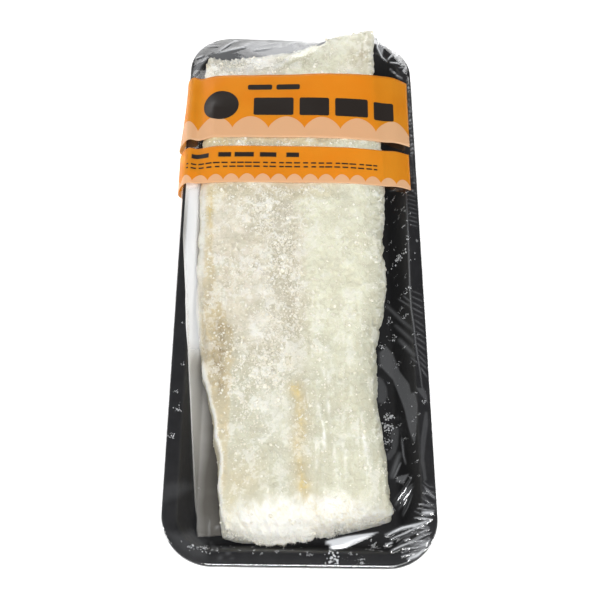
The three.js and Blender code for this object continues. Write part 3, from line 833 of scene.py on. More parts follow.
def pad_damp_and_shade(x, y):
    """How grey the fleece is painted: white where it stands on the rim; low down it is damp and in
    painted shade, darkest beside the fish and towards the near end, with a painted fold shade by the
    rim.
    """
    edge = np.interp(y, [PAD_NEAR_LEFT[1], PAD_ON_RIM[1]], [PAD_NEAR_LEFT[0], PAD_ON_RIM[0]]) + TRAY_X
    from_edge = x - edge
    # Low down the fleece is damp and in painted shade: darker beside the fish and towards the near end
    low = 1 - smooth(-64, -44, y + 1.2 * (from_edge - 6))
    inward = smooth(-1, 13, from_edge)
    end = 1 - smooth(-135, -75, y)
    # Painted shade of a fold where the pad meets the rim
    fold_shade = 0.7 * spot(x, y, (-63.2, 24), 2.6, 22)
    return np.clip(low * (0.25 + 0.65 * inward + 0.55 * end) + fold_shade, 0, 1)


class FISHPACK_OT_pad(bpy.types.Operator):
    """Absorbent pad, askew under the fish and up the left wall"""

    bl_idname = "fishpack.pad"
    bl_label = "Absorbent pad"

    def execute(self, context):
        settings = context.scene.fishpack_pad
        data = build_pad(settings)
        places = np.array([vert.co for vert in data.vertices]) / MM
        set_attribute(data, "damp_and_shade", pad_damp_and_shade(places[:, 0], places[:, 1]))
        add_piece("pad_fleece", data, fleece_finish(settings), ("pad",))
        return {"FINISHED"}


# Fillet


class FilletSettings(bpy.types.PropertyGroup):
    colour: colour_setting("Flesh", "Main tone", 233, 226, 208)
    # Greyer mottling, also painted as shade along the right edge
    grey: colour_setting("Grey flesh", "Greyer mottling", 208, 203, 185)
    # Greener flakes, also painted as shade along the right edge and under the printed strips
    green: colour_setting("Green flakes", "Greener flakes", 209, 209, 189)
    pink: colour_setting("Pink flakes", "Paler, pinker flakes", 237, 227, 214)
    straw: colour_setting("Straw", "Yellow strands of the cut end", 229, 217, 182)
    # Darker tone painted as shade in the hollows of the relief, and drawn along the seams between flakes
    # and between fibres
    hollow_shade_and_seams: colour_setting("Hollows", "Hollows between flakes", 196, 189, 166)
    loin: colour_setting("Loin", "Cream of the thick back", 235, 235, 213)
    # Tan of the thin side, also painted as the shade of the printed strips
    tan: colour_setting("Side band", "Tan of the thin side", 217, 203, 168)
    brown: colour_setting("Dark patches", "Brown-grey patches", 158, 141, 111)
    amber: colour_setting("Amber", "Yellow spots", 224, 202, 136)
    snow: colour_setting("White flesh", "Frayed and salty places", 251, 250, 243)
    fibre: colour_setting("Fibres", "Loose fibres at the cut end", 252, 250, 242)
    salt: colour_setting("Salt", "Clear white salt", 248, 246, 236)
    salt_cream: colour_setting("Cream salt", "Salt tinted by the fish", 236, 229, 210)
    relief: length_setting("Relief", "Height of the lumps and fibres", 0.4)
    grains: number_setting("Grains", "Salt grains caked on the fish", 6500)
    grain_size: length_setting("Grain size", "Usual width of a grain", 0.5)
    clumps: number_setting("Clumps", "Lumps of salt caked on the fish", 2600)
    clump_size: length_setting("Clump size", "Usual width of a clump", 1.1)
    fibres: number_setting("Fibre count", "Loose fibres at the ends", 1900)
    columns: number_setting("Columns", "Faces across the top", 168)
    rows: number_setting("Rows", "Faces along the top", 430)


# Rows of faces down the sides, and how far inside the outline their rays start
SIDE_LEVELS = 15
MEDIAL = 13.0
FISH_WIDTH = 100
FISH_LENGTH = 300
# How far inside the outline the top ends, and how wide its left shoulder is
EDGE_INSET = 2.6
SHOULDER = 8.0
FISH_TOP_LIMIT = 44.8
# Places across the fish, and how far the near end moves away from the viewer there
NEAR_EDGE_PLACES = [-46, -37, -29, -18, -8, 3, 11, 27, 46]
NEAR_EDGE_MOVES = [-1.2, -2.0, -2.8, -2.4, -1.0, 0.4, 2.4, 2.2, 2.3]


class FishPlan:
    """The fish's outline in plan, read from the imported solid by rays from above."""

    def __init__(self):
        self.tree = solid_tree("fillet")
        low, high = (np.array(corner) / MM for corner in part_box("fillet"))
        self.y = np.linspace(low[1] + 10, high[1] - 9, 90)
        self.left, self.right = self.reach(low[0], high[0], self.y, lambda along, rows: (along, rows))
        self.ends = []
        for end in (0, -1):
            x = np.linspace(self.left[end] + 3, self.right[end] - 3, 40)
            edges = self.reach(low[1], high[1], x, lambda along, rows: (rows, along))
            self.ends.append(edges[end])

    def reach(self, low, high, rows, place):
        """First and last place of each row that lies over the fish."""
        along = np.arange(low - 1, high + 1, 0.25)
        table, across = np.meshgrid(along, rows)
        hit = np.isfinite(heights(self.tree, *place(table, across)))
        first = along[hit.argmax(axis=1)]
        last = along[len(along) - 1 - hit[:, ::-1].argmax(axis=1)]
        return first, last

    def from_left(self, x, y):
        """Distance from the fish's left edge."""
        return x - np.interp(y, self.y, self.left)

    def place(self, u, v, inset):
        """Plan place at shares u and v of the outline moved in by inset."""
        shares = np.linspace(0, 1, 40)
        near = np.interp(u, shares, self.ends[0]) + inset
        far = np.interp(u, shares, self.ends[1]) - inset
        y = mix(near, far, v)
        left = np.interp(y, self.y, self.left) + inset
        right = np.interp(y, self.y, self.right) - inset
        return mix(left, right, u), y


def squared(angle, wide, distance, rise):
    """Reach of a square-shouldered side at an angle above its middle, through its top corner."""
    power = 6.0
    high = rise / (1 - np.minimum(distance / wide, 0.97) ** power) ** (1 / power)
    reach = np.abs(np.cos(angle) / wide) ** power + np.abs(np.sin(angle) / high) ** power
    return reach ** (-1 / power)


def close_sides(mesh, levels, tree, centre, outward, distance, rise, last, square):
    """Turns the open edge of a grid down round the sides, by rays from a line inside the fish."""
    rim = mesh.verts.layers.int["rim"]
    edges = [edge for edge in mesh.edges if edge.is_boundary]
    first = np.arctan2(rise, distance)
    wide = np.linalg.norm(cast(tree, centre, outward) - centre, axis=1)
    for level in range(1, levels + 1):
        angle = mix(first, last, level / levels)
        rays = outward * np.cos(angle)[:, None]
        rays[:, 2] = np.sin(angle)
        reach = np.linalg.norm(cast(tree, centre, rays) - centre, axis=1)
        shoulder = square * smooth(-0.05, 0.05, angle)
        reach = mix(reach, squared(angle, wide, distance, rise), shoulder)
        hits = centre + rays * reach[:, None]
        edges, verts = extruded(mesh, edges)
        for vert in verts:
            vert.co = Vector(hits[vert[rim]] * MM)
    bmesh.ops.edgeloop_fill(mesh, edges=edges)


def build_fillet(settings):
    """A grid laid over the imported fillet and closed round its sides. Returns it with its shares."""
    plan = FishPlan()
    mesh, u, v = new_grid(settings.columns, settings.rows)
    x, y = plan.place(u, v, EDGE_INSET)
    top = heights(plan.tree, x, y)
    from_left = plan.from_left(x, y)
    square = 1 - smooth(-62, -48, y)
    level = heights(plan.tree, x + np.maximum(SHOULDER - from_left, 0), y)
    shoulder = np.clip(1 - from_left / SHOULDER, 0, 1)
    top = mix(top, level - 1.6 * shoulder**2, square * (shoulder > 0))
    top += 2.4 * spot(x, y, (41, 154), 9, 9)
    place_all(mesh, np.column_stack([x, y, top]))
    border = np.array([vert.index for vert in mesh.verts if vert.is_boundary])
    rim = mesh.verts.layers.int.new("rim")
    mesh.verts.ensure_lookup_table()
    for k, index in enumerate(border):
        mesh.verts[index][rim] = k
    reach_u = MEDIAL / FISH_WIDTH
    reach_v = MEDIAL / FISH_LENGTH
    inner_u = np.clip(u[border], reach_u, 1 - reach_u)
    inner_v = np.clip(v[border], reach_v, 1 - reach_v)
    mx, my = plan.place(inner_u, inner_v, EDGE_INSET)
    over = heights(plan.tree, mx, my)
    under = heights(plan.tree, mx, my, start=-20.0, down=False)
    centre = np.column_stack([mx, my, (over + under) / 2])
    outward = np.column_stack([x[border] - mx, y[border] - my, np.zeros(len(border))])
    distance = np.linalg.norm(outward, axis=1)
    outward /= distance[:, None]
    rise = top[border] - centre[:, 2]
    last = -np.arctan2(centre[:, 2] - under, distance)
    shoulders = square[border] * (1 - smooth(0.0, 0.03, u[border]))
    close_sides(mesh, SIDE_LEVELS, plan.tree, centre, outward, distance, rise, last, shoulders)
    side = [vert[rim] for vert in mesh.verts][len(u):]
    shares = np.column_stack([np.append(u, u[border][side]), np.append(v, v[border][side])])
    axes = {"use_axis_x": True, "use_axis_y": True, "use_axis_z": True}
    for _ in range(2):
        bmesh.ops.smooth_vert(mesh, verts=mesh.verts, factor=0.5, **axes)
    places = places_of(mesh)
    along = places[:, 1]
    left, right = smooth(0.12, 0.0, shares[:, 0]), smooth(0.9, 1.0, shares[:, 0])
    places[:, 0] += 1.1 * right * (1 - smooth(-72, -52, along))
    places[:, 0] -= 1.5 * left * hill(along, -107, 15)
    places[:, 0] -= 0.8 * left * window(along, -60, -20, 60, 80)
    moves = np.interp(places[:, 0], NEAR_EDGE_PLACES, NEAR_EDGE_MOVES)
    places[:, 1] += moves * smooth(-128, -144, along)
    corner = spot(places[:, 0], along, (45, 155), 4.5, 4.5) * smooth(20, 34, places[:, 2])
    raised = smooth(143, 151, along) * smooth(11, 22, places[:, 0]) * smooth(20, 34, places[:, 2])
    places[:, 1] += 1.6 * corner + 2.4 * raised * (1 - corner)
    places[:, 2] += 4.0 * corner + 1.6 * raised * (1 - corner)
    places[:, 2] = np.minimum(places[:, 2], FISH_TOP_LIMIT)
    place_all(mesh, places)
    return mesh, shares, plan


def trail(x, y, path, width):
    """1 along a path of [x, y] places, falling off over a width beside it."""
    across, along = np.array(path).T
    ends = window(y, along[0] - 4, along[0] + 1, along[-1] - 1, along[-1] + 4)
    return hill(x, np.interp(y, along, across), width) * ends


def spots(x, y, listed, start=0):
    """Sum of soft spots on a start, each listed as its strength, middle, width and length."""
    return sum((share * spot(x, y, *place) for share, *place in listed), start)


def skin_line(y, z, from_left, middle, width):
    """1 along the skin that stands up at the near part of the left edge."""
    return hill(from_left, middle, width) * (1 - smooth(-64, -50, y)) * smooth(18, 22, z)


# Places of the fish's colours, as [x, y] in millimetres from the near end to the far one

LOIN_EDGE = [[4, -150], [3, -110], [2, -85], [6, -53], [1, -20], [3, 20], [-2, 60], [-6, 100]]
SIDE_BAND = [
    [-36, -138], [-37, -112], [-39.5, -78], [-40.5, -62], [-42, -45], [-46, -22], [-49, 5], [-50, 46],
]
SIDE_BAND_WIDTH = [1.5, 3.0, 5.0, 7.5, 8.5, 4.5, 2.6, 1.6]
AMBER_LINE = [
    [8, -145], [6.5, -136], [3.2, -127], [0.4, -106], [2.4, -91], [1.6, -81], [-1.2, -73],
]
BROWN_SPOTS = [
    (1.1, (-41, -47), 6.5, 13), (0.9, (-40.5, -70), 4.5, 11), (0.35, (-47, -16), 2.5, 14),
    (0.3, (2, -100), 4, 40), (0.3, (-3, -25), 2.5, 18), (0.7, (36, 141), 6, 9),
    (0.35, (-18.5, -26.5), 5, 4.5),
]
AMBER_SPOTS = [
    (0.9, (-1.1, -74.6), 2.4, 3.6), (0.8, (3.2, -126.7), 2.0, 3.2), (0.3, (-4, -60), 2.5, 4),
    (0.8, (-56, 143), 3.5, 7), (0.4, (8, -143), 3, 5), (0.35, (-32, -136), 3, 8),
    (0.25, (36, -141), 7, 3),
]
SNOW_SPOTS = [
    (0.6, (-19, -14), 5, 8), (0.65, (-18.7, -38), 6, 10), (0.45, (-12, -82), 8, 16),
    (0.2, (-5, -107), 5, 14), (0.9, (29, 131.5), 5, 3.5), (0.4, (-19, 143), 5, 4),
]
FAR_SNOW_SPOTS = [(1.3, (-37, 141), 17, 9), (0.4, (26, 150), 14, 7)]
STRANDS = [
    [[14.8, -78.6], [13.9, -65.8], [11.8, -59.2]],
    [[17.7, -97.4], [16.3, -87.6], [15.8, -80.0], [16.4, -70.1], [15.5, -62.3]],
    [[14.0, -108.4], [13.5, -99.0], [11.7, -89.6], [10.2, -80.3]],
    [[20.2, -133.2], [19.4, -118.3], [18.6, -102.6]],
    [[24.7, -123.4], [23.5, -108.1], [22.0, -98.0]],
    [[36.5, -122.0], [34.5, -108.0], [32.6, -95.0]],
    [[9.5, -120.0], [10.0, -110.0], [9.6, -102.0]],
]
GREY_SPOTS = [
    (0.6, (-17.5, -27), 3.5, 3.5), (0.6, (-25, -101), 5, 6), (0.6, (-11, -113), 4, 4),
    (0.6, (33, -80), 1.6, 9), (0.6, (39, -63), 2.5, 7), (0.6, (37, -100), 2.5, 12),
    (0.6, (-46.8, 134.5), 3, 2.5), (0.6, (-9, 143), 6, 3), (0.6, (37, 139), 5, 9),
    (0.6, (11, -112), 2.5, 9), (0.6, (-24, 24), 5, 6),
]
FAR_FOLD = [[-16.9, 132.2], [-3.8, 146.1], [3.3, 148.9], [12.1, 157.2]]
FAR_VALLEY = [[-13.5, 133.6], [-2.3, 142.6], [7.1, 144.2]]


def colour_zones(x, y, z, u, from_left):
    """How much of each tone the flesh takes at places of the plan, painted shade among them."""
    cloud = rough(lattice(11), x / 14, y / 18)
    fine = rough(lattice(12), x / 3.5, y / 5)
    edge = np.array(LOIN_EDGE)
    from_edge = x - np.interp(y, edge[:, 1], edge[:, 0]) + 5 * cloud
    # Less loin cream at the right edge, so that the painted edge shade shows
    loin = smooth(-6, 7, from_edge) * (1 - 0.45 * smooth(0.9, 1.0, u))
    band = np.array(SIDE_BAND)
    half = np.interp(y, band[:, 1], SIDE_BAND_WIDTH) * (1 + 0.18 * fine)
    from_band = np.abs(x - np.interp(y, band[:, 1], band[:, 0]))
    tan = 1 - smooth(half - 0.9, half + 0.9, from_band)
    tan = tan * window(y, -140, -118, 44, 50) * (0.85 + 0.25 * cloud)
    tan = np.maximum(tan, 0.5 * trail(x, y, AMBER_LINE, 5.5))
    tan = np.maximum(tan, 0.7 * spot(x, y, (-29, -121), 13, 11) * (0.8 + 0.5 * cloud))
    # Painted shade of the printed strips, in tan, under and between them on the left part of the fish
    shaded = 0.45 * smooth(38, 45, y) + 0.4 * smooth(66, 76, y)
    tan = np.maximum(tan, shaded * (1 - smooth(84, 90, y)) * (1 - smooth(14, 26, x)))
    brown = spots(x, y, BROWN_SPOTS)
    amber = spots(x, y, AMBER_SPOTS, 0.55 * trail(x, y, AMBER_LINE, 2.6 + 1.2 * fine))
    amber = amber + 0.5 * tan * smooth(8, 26, y) * (x < -40) + 0.7 * spot(x, y, (-49.5, 38), 2.2, 8)
    snow = spots(x, y, SNOW_SPOTS) + 0.8 * along_path(x, y, FAR_FOLD, 1.8)
    snow = spots(x, y, FAR_SNOW_SPOTS, snow)
    for strand in STRANDS:
        snow = snow + 0.6 * along_path(x, y, strand, 0.9) * (0.7 + 0.8 * fine)
    snow = snow * (1 - 0.8 * spot(x, y, (-18, -26.5), 5, 4.5))
    frayed = 1 - smooth(-141, -131, y + 3 * fine - 5 * spot(x, y, (2, -132), 26, 20))
    frayed = frayed * mix(0.5, 1.0, smooth(-34, -22, x + 2 * fine))
    skin = skin_line(y, z, from_left, 0.7, 1.0)
    strip = 0.8 * hill(from_left, 1.5, 1.8) * window(y, -16, 2, 46, 60)
    streak = x - np.interp(y, [-60, -20, 5, 47], [-3, -4, -10, -8])
    # Greyer along a streak left of the loin; along the right edge, painted shade where the side turns
    # away from the light
    grey = 0.85 * hill(streak, 0, 8) * smooth(-75, -30, y) + smooth(0.94, 1.0, u)
    grey = spots(x, y, GREY_SPOTS, grey + 0.6 * (1 - smooth(-75, -35, y)))
    dull = 0.5 * (1 - smooth(-62, -28, y)) + 0.8 * spot(x, y, (-18.5, -26.5), 5, 4.5)
    # Painted shade along the right edge, where the side turns away from the light, fading at the far end
    dull = dull + 0.9 * smooth(0.87, 0.98, u) * (1 - 0.8 * smooth(118, 130, y))
    dull = dull + 0.3 * (1 - smooth(10, 20, x)) * (1 - smooth(-80, -55, y))
    # Painted shade of the printed strips, under and between them
    dull = dull + 0.2 * window(y, 34, 46, 84, 90)
    dull = dull + 0.2 * spot(x, y, (-7, -108), 7, 26)
    return {
        "loin": loin,
        "tan": tan,
        "brown": brown * (0.8 + 0.6 * fine),
        "amber": amber,
        "grey": grey * (0.85 + 0.4 * cloud),
        "snow": np.maximum(snow * (0.8 + 0.5 * fine), np.maximum(skin, strip)),
        "dull": dull,
        "frayed": frayed,
        "white_end": spot(x, y + 2 * fine, (-6, -147), 17, 8),
        "fibrous": smooth(0.5, 0.6, u) * (1 - smooth(-80, -38, y)) * (0.75 + 0.4 * cloud),
        "salted": salt_cover(x, y, u),
    }


def salt_cover(x, y, u):
    """How thickly salt lies on the fish, from 0 to 1."""
    cloud = rough(lattice(21), x / 9, y / 12)
    bare = window(y, 79, 82, 126, 129) + window(y, 48, 51, 74, 77)
    middle = hill(x, -13, 15) * window(y, -95, -50, 60, 110)
    left = 0.3 * hill(u, 0.16, 0.12) * smooth(-120, -95, y)
    far = 0.25 * smooth(110, 130, y)
    return np.clip((0.16 + middle + left + far) * (0.75 + 0.55 * cloud), 0.02, 1) * (1 - bare)


def flesh_relief(x, y, z, u, from_left):
    """Height of the fine forms on the flesh, as a share of the setting."""
    lumps = rough(lattice(1), x / 5.5, (y + 0.4 * z) / 6.5)
    crumbs = 0.7 - 2 * np.abs(rough(lattice(2), x / 3.2, (y + z) / 3.4, 2))
    edge = np.maximum(smooth(0.965, 1.0, u), smooth(148, 156, y))
    threads = rough(lattice(3), x / 1.7 + 0.5 * lumps, y / 24)
    fibrous = smooth(0.5, 0.62, u) * (1 - smooth(-75, -40, y))
    frayed = 1 - smooth(-143, -134, y)
    tufts = rough(lattice(4), (x + 0.7 * y) / 2.6, (y - 0.7 * x) / 9)
    return (
        0.85 * lumps
        + (0.3 + 0.6 * salt_cover(x, y, u) + 1.3 * edge + spot(x, y, (39, 143), 8, 10)) * crumbs
        + (0.15 + 0.2 * fibrous) * threads
        + 2.4 * along_path(x, y, FAR_FOLD, 2.0)
        - 1.8 * along_path(x, y, FAR_VALLEY, 2.0)
        + 0.5 * sum(along_path(x, y, strand, 0.9) for strand in STRANDS)
        + 1.6 * skin_line(y, z, from_left, 1.2, 0.9)
        + 1.4 * frayed * tufts
    )


def add_salt(name, settings, shape, count, size, seed, places, normals, u):
    """Broken grains or clumps of salt, half sunk in the flesh."""
    random = np.random.default_rng(seed)
    cover = salt_cover(places[:, 0], places[:, 1], u)
    chosen = random.choice(len(places), count, p=cover / cover.sum())
    width = size / MM * np.exp(random.normal(0, 0.45, count)) * (0.8 + 0.4 * cover[chosen])
    width = np.minimum(width, 2.4)
    shift = random.normal(0, 0.35, (count, 3))
    spots = places[chosen] + shift * (1 - normals[chosen] ** 2) - normals[chosen] * width[:, None] * 0.08
    sizes = width[:, None] * random.uniform(0.3, 1.3, (count, 3))
    points, faces = joined_copies(shape, spots, random_turns(random, count), sizes)
    data = mesh_from_copies(name, points, faces, smooth_faces=shape is PEBBLE)
    add_piece(name, data, salt_finish(settings, name))


def small_shape(make, **sizes):
    """Points and three-cornered faces of a small shape, for copying many times."""
    mesh = bmesh.new()
    make(mesh, **sizes)
    bmesh.ops.triangulate(mesh, faces=mesh.faces)
    bmesh.ops.recalc_face_normals(mesh, faces=mesh.faces)
    points = np.array([vert.co for vert in mesh.verts])
    faces = np.array([[vert.index for vert in face.verts] for face in mesh.faces])
    mesh.free()
    return points, faces


def spike(mesh):
    """A thin bent spike that stands on a triangle and tapers upwards."""
    bmesh.ops.create_circle(mesh, cap_ends=True, segments=3, radius=1.0)
    face = next(iter(mesh.faces))
    for rise, lean, share in ((0.55, 0.6, 0.75), (0.45, 1.4, 0.1)):
        made = bmesh.ops.extrude_face_region(mesh, geom=[face])["geom"]
        verts = [item for item in made if isinstance(item, bmesh.types.BMVert)]
        face = [item for item in made if isinstance(item, bmesh.types.BMFace)][0]
        middle = face.calc_center_median()
        bmesh.ops.scale(mesh, vec=(share, share, 1), space=Matrix.Translation(-middle), verts=verts)
        bmesh.ops.translate(mesh, vec=(lean, 0, rise), verts=verts)


CUBE = small_shape(bmesh.ops.create_cube, size=1.0)
PEBBLE = small_shape(bmesh.ops.create_icosphere, subdivisions=1, radius=0.5)
SPIKE = small_shape(spike)


def turns_towards(directions, random):
    """Rotations that take +Z to the directions, each with a random roll."""
    side = units(np.cross(directions, random.normal(size=directions.shape)))
    return np.stack([side, np.cross(directions, side), directions], axis=2)


def add_fibres(settings, places, normals, u, v):
    """Loose fibres at the frayed near end, and a short fuzz along the other cut edges."""
    random = np.random.default_rng(8)
    x = places[:, 0]
    near = 1 - smooth(0.0, 0.012, v)
    other_edges = np.maximum(smooth(0.985, 1.0, u), smooth(0.99, 1.0, v))
    weight = near + 0.06 * (1 - smooth(0.01, 0.06, v)) + 0.05 * other_edges
    weight = weight + 0.02 * (1 - smooth(0.0, 0.02, u))
    chosen = random.choice(len(places), settings.fibres, p=weight / weight.sum())
    outward = np.column_stack([0.01 * x[chosen], -0.8 * near[chosen], 0.0 * x[chosen]])
    outward = units(outward + normals[chosen] * 0.35 + random.normal(0, 0.5, (settings.fibres, 3)))
    length = mix(0.6, 1.1, near[chosen]) * random.uniform(0.4, 1.3, settings.fibres)
    radius = random.uniform(0.06, 0.13, settings.fibres) * mix(1.0, 1.6, near[chosen])
    sizes = np.column_stack([radius, radius, length])
    spots = places[chosen] - normals[chosen] * 0.15 + random.normal(0, 0.2, (settings.fibres, 3))
    points, faces = joined_copies(SPIKE, spots, turns_towards(outward, random), sizes)
    data = mesh_from_copies("loose_fibres", points, faces, smooth_faces=True)
    add_piece("loose_fibres", data, fibre_finish(settings))


class FISHPACK_OT_fillet(bpy.types.Operator):
    """Salt cod fillet with its relief, colours, caked salt and loose fibres"""

    bl_idname = "fishpack.fillet"
    bl_label = "Fillet"

    def execute(self, context):
        settings = context.scene.fishpack_fillet
        mesh, shares, plan = build_fillet(settings)
        places = places_of(mesh)
        x, y, z = places.T
        u, v = shares.T
        from_left = plan.from_left(x, y)
        relief = flesh_relief(x, y, z, u, from_left)
        push_out(mesh, settings.relief / MM * smooth(7.0, 15.0, z) * relief)
        mesh.normal_update()
        places = places_of(mesh)
        normals = np.array([vert.normal for vert in mesh.verts])
        zones = colour_zones(x, y, z, u, from_left)
        # The relief's height, by which shade is painted into the hollows and the crests are lightened
        zones["crest"] = 0.5 + 0.4 * relief
        data = finish_mesh(mesh, "fillet_flesh")
        for name, values in zones.items():
            set_attribute(data, name, np.clip(values, 0, 1))
        add_piece("fillet_flesh", data, flesh_finish(settings), ("fillet",))
        seen = (normals[:, 2] > 0.05) & (places[:, 2] > 12)
        for name, shape, count, size, seed in (
            ("salt_grains", CUBE, settings.grains, settings.grain_size, 5),
            ("salt_clumps", PEBBLE, settings.clumps, settings.clump_size, 6),
        ):
            add_salt(name, settings, shape, count, size, seed, places[seen], normals[seen], u[seen])
        add_fibres(settings, places[seen], normals[seen], u[seen], v[seen])
        return {"FINISHED"}


# Salt crumbs


class CrumbSettings(bpy.types.PropertyGroup):
    salt: colour_setting("Salt", "White of the crumbs", 238, 240, 243)
    salt_cream: colour_setting("Cream salt", "Duller crumbs", 205, 206, 208)
    scattered: number_setting("Scattered", "Crumbs strewn at random", 170)
    size: length_setting("Size", "Usual width of a crumb", 0.8)


# Crumbs that stand out, as [x, y, width] in millimetres
CRUMBS = [
    [58.8, 13.9, 2.6], [62.6, 21, 1.2], [60.7, 31, 1.0], [61.1, 42.9, 0.9], [67.5, 19.3, 0.8],
    [60.7, -10.7, 1.6], [58.3, -18.9, 1.2], [59.6, -25, 1.4], [52.7, -21.7, 1.6], [54.4, -32.7, 1.6],
    [48.6, -37, 1.6], [50.2, -78.7, 2.4], [49.8, -85, 2.8], [49.6, -92.4, 2.0], [66.5, -78.5, 1.0],
    [17.8, -161, 2.6], [40.1, -148.9, 2.0], [31.2, -161.5, 1.4], [-50.2, -156, 1.4],
    [-44.7, -154.9, 1.8], [-59.3, -59.8, 0.9], [-61.5, -75.2, 1.0], [-60.4, -85.2, 1.6],
    [-62.6, -99.8, 1.4], [-9, -157.5, 0.9], [6, -159, 0.8], [-20, -156.5, 0.8], [57, 55, 1.0],
    [56, -50, 1.2], [61, -110, 1.0],
]


def crumb_sources(settings, random):
    """The crumbs that stand out and those strewn at random, as [x, y, width]."""
    count = settings.scattered
    on_right = random.uniform(size=count) < 0.62
    across = np.where(on_right, random.uniform(46, 66, count), random.uniform(-63, 45, count))
    along = random.uniform(-158, 70, count)
    width = settings.size / MM * np.exp(random.normal(-0.5, 0.35, count))
    on_left = across < 45
    left = on_left.sum()
    at_near_end = random.uniform(size=left) < 0.5
    along[on_left] = np.where(at_near_end, random.uniform(-160, -150, left), along[on_left])
    return np.vstack([CRUMBS, np.column_stack([across, along, width])])


def build_crumbs(settings):
    """Small cubes in loose heaps, resting on the tray and the pad but not on the fish."""
    random = np.random.default_rng(14)
    sources = crumb_sources(settings, random)
    parts = np.clip((sources[:, 2] * 14).astype(int), 1, 44)
    owner = np.repeat(np.arange(len(sources)), parts)
    middle = sources[owner]
    spread = middle[:, 2:3] * 0.62 * (parts[owner, None] > 1)
    plan = middle[:, :2] + random.normal(0, 1, (len(owner), 2)) * spread
    size = np.clip(middle[:, 2] * random.uniform(0.08, 0.34, len(owner)), 0.2, 0.8)
    tray, pad, fish = (
        heights(piece_tree(name), *plan.T) for name in ("tray_foam", "pad_fleece", "fillet_flesh")
    )
    level = np.fmax(tray, pad)
    clear = np.isfinite(level) & ~np.isfinite(fish)
    plan, size, level = plan[clear], size[clear], level[clear]
    places = np.column_stack([plan, level + size * 0.42])
    sizes = size[:, None] * random.uniform(0.7, 1.1, (len(size), 3))
    points, faces = joined_copies(CUBE, places, random_turns(random, len(size)), sizes)
    return mesh_from_copies("salt_crumbs", points, faces)


class FISHPACK_OT_crumbs(bpy.types.Operator):
    """Loose salt on the floor and rim of the tray"""

    bl_idname = "fishpack.crumbs"
    bl_label = "Salt crumbs"

    def execute(self, context):
        settings = context.scene.fishpack_crumbs
        finish = salt_finish(settings, "salt_crumbs")
        add_piece("salt_crumbs", build_crumbs(settings), finish)
        return {"FINISHED"}


# Film


class FilmSettings(bpy.types.PropertyGroup):
    shine: number_setting("Shine", "Strength of the film's reflections", 1.0)
    # Milkiness of crumpled film, which also paints the creases' highlights and the film's reflections
    haze_and_glints: number_setting("Haze", "Milkiness of crumpled film", 0.7)
    waviness: number_setting("Waviness", "Strength of the fine waves", 0.2)
    across: number_setting("Cells across", "Straight cells across the top", 44)
    along: number_setting("Cells along", "Straight cells along the near part", 345)
    rounds: number_setting("Settling rounds", "Rounds of settling on the fish", 700)


# Where the film's top ends: how far inside the rim's outline, and how far above the rim
FILM_INSET = 1.1
FILM_LIFT = 0.65
# Cells round the corners on each side, and along the far part, which starts under the strips
LEFT_CELLS = 28
RIGHT_CELLS = 60
NEAR_CELLS = 62
FAR_CELLS = 60
UNDER_STRIPS = 50.0
UNDER_STRIPS_CELLS = 76


def grid_lines(first_cells, flats, last_cells):
    """Lines of one side of a rounded rectangle, as [straight part, turn of the corner]."""
    first, last = (
        math.sqrt(2) * np.sin(np.linspace(math.pi / 4, 0, cells, endpoint=False))
        for cells in (first_cells, last_cells)
    )
    line = [[flats[0], -turn] for turn in first]
    line += [[flat, 0.0] for flat in flats]
    line += [[flats[-1], turn] for turn in last[::-1]]
    return np.array(line)


class FilmGrid:
    """Maps the film's grid onto the rim's outline moved in or out."""

    def __init__(self, settings):
        wide, long = HALF_WIDTH - CORNER, HALF_LENGTH - CORNER
        far = np.linspace(UNDER_STRIPS, long, UNDER_STRIPS_CELLS + 1)[1:]
        flats = np.append(np.linspace(-long, UNDER_STRIPS, settings.along + 1), far)
        self.across = grid_lines(LEFT_CELLS, np.linspace(-wide, wide, settings.across + 1), RIGHT_CELLS)
        self.along = grid_lines(NEAR_CELLS, flats, FAR_CELLS)
        self.columns = len(self.across) - 1
        self.rows = len(self.along) - 1

    def plan(self, i, j, inset):
        """Places of the grid's lines i and j on the outline moved in by inset."""
        radius = CORNER - inset
        a, b = self.across[i], self.along[j]
        x = a[:, 0] + radius * a[:, 1] * np.sqrt(1 - b[:, 1] ** 2 / 2)
        y = b[:, 0] + radius * b[:, 1] * np.sqrt(1 - a[:, 1] ** 2 / 2)
        return np.column_stack([x + TRAY_X, y])


def settle(start, rest, x, y, rounds):
    """Tight film: each inner point settles between its neighbours and rests on what is under it."""
    z = start.copy()
    gap_x = np.hypot(np.diff(x, axis=1), np.diff(y, axis=1))
    gap_y = np.hypot(np.diff(x, axis=0), np.diff(y, axis=0))
    wide = (gap_x[1:-1, :-1] + gap_x[1:-1, 1:]) / 2
    long = (gap_y[:-1, 1:-1] + gap_y[1:, 1:-1]) / 2
    left, right = long / gap_x[1:-1, :-1], long / gap_x[1:-1, 1:]
    near, far = wide / gap_y[:-1, 1:-1], wide / gap_y[1:, 1:-1]
    total = left + right + near + far
    for _ in range(rounds):
        mean = left * z[1:-1, :-2] + right * z[1:-1, 2:] + near * z[:-2, 1:-1] + far * z[2:, 1:-1]
        z[1:-1, 1:-1] = np.maximum(mean / total, rest[1:-1, 1:-1])
    return z


def depth_inside(x, y, corners):
    """How deep places lie inside a closed outline; less than 0 outside it."""
    away = np.abs(beside(x, y, [*corners, corners[0]])[0])
    within = np.zeros(x.shape, bool)
    for start, end in zip(corners, [*corners[1:], corners[0]]):
        if start[1] != end[1]:
            across = start[0] + (y - start[1]) * (end[0] - start[0]) / (end[1] - start[1])
            within ^= ((start[1] > y) != (end[1] > y)) & (x < across)
    return np.where(within, away, -away)


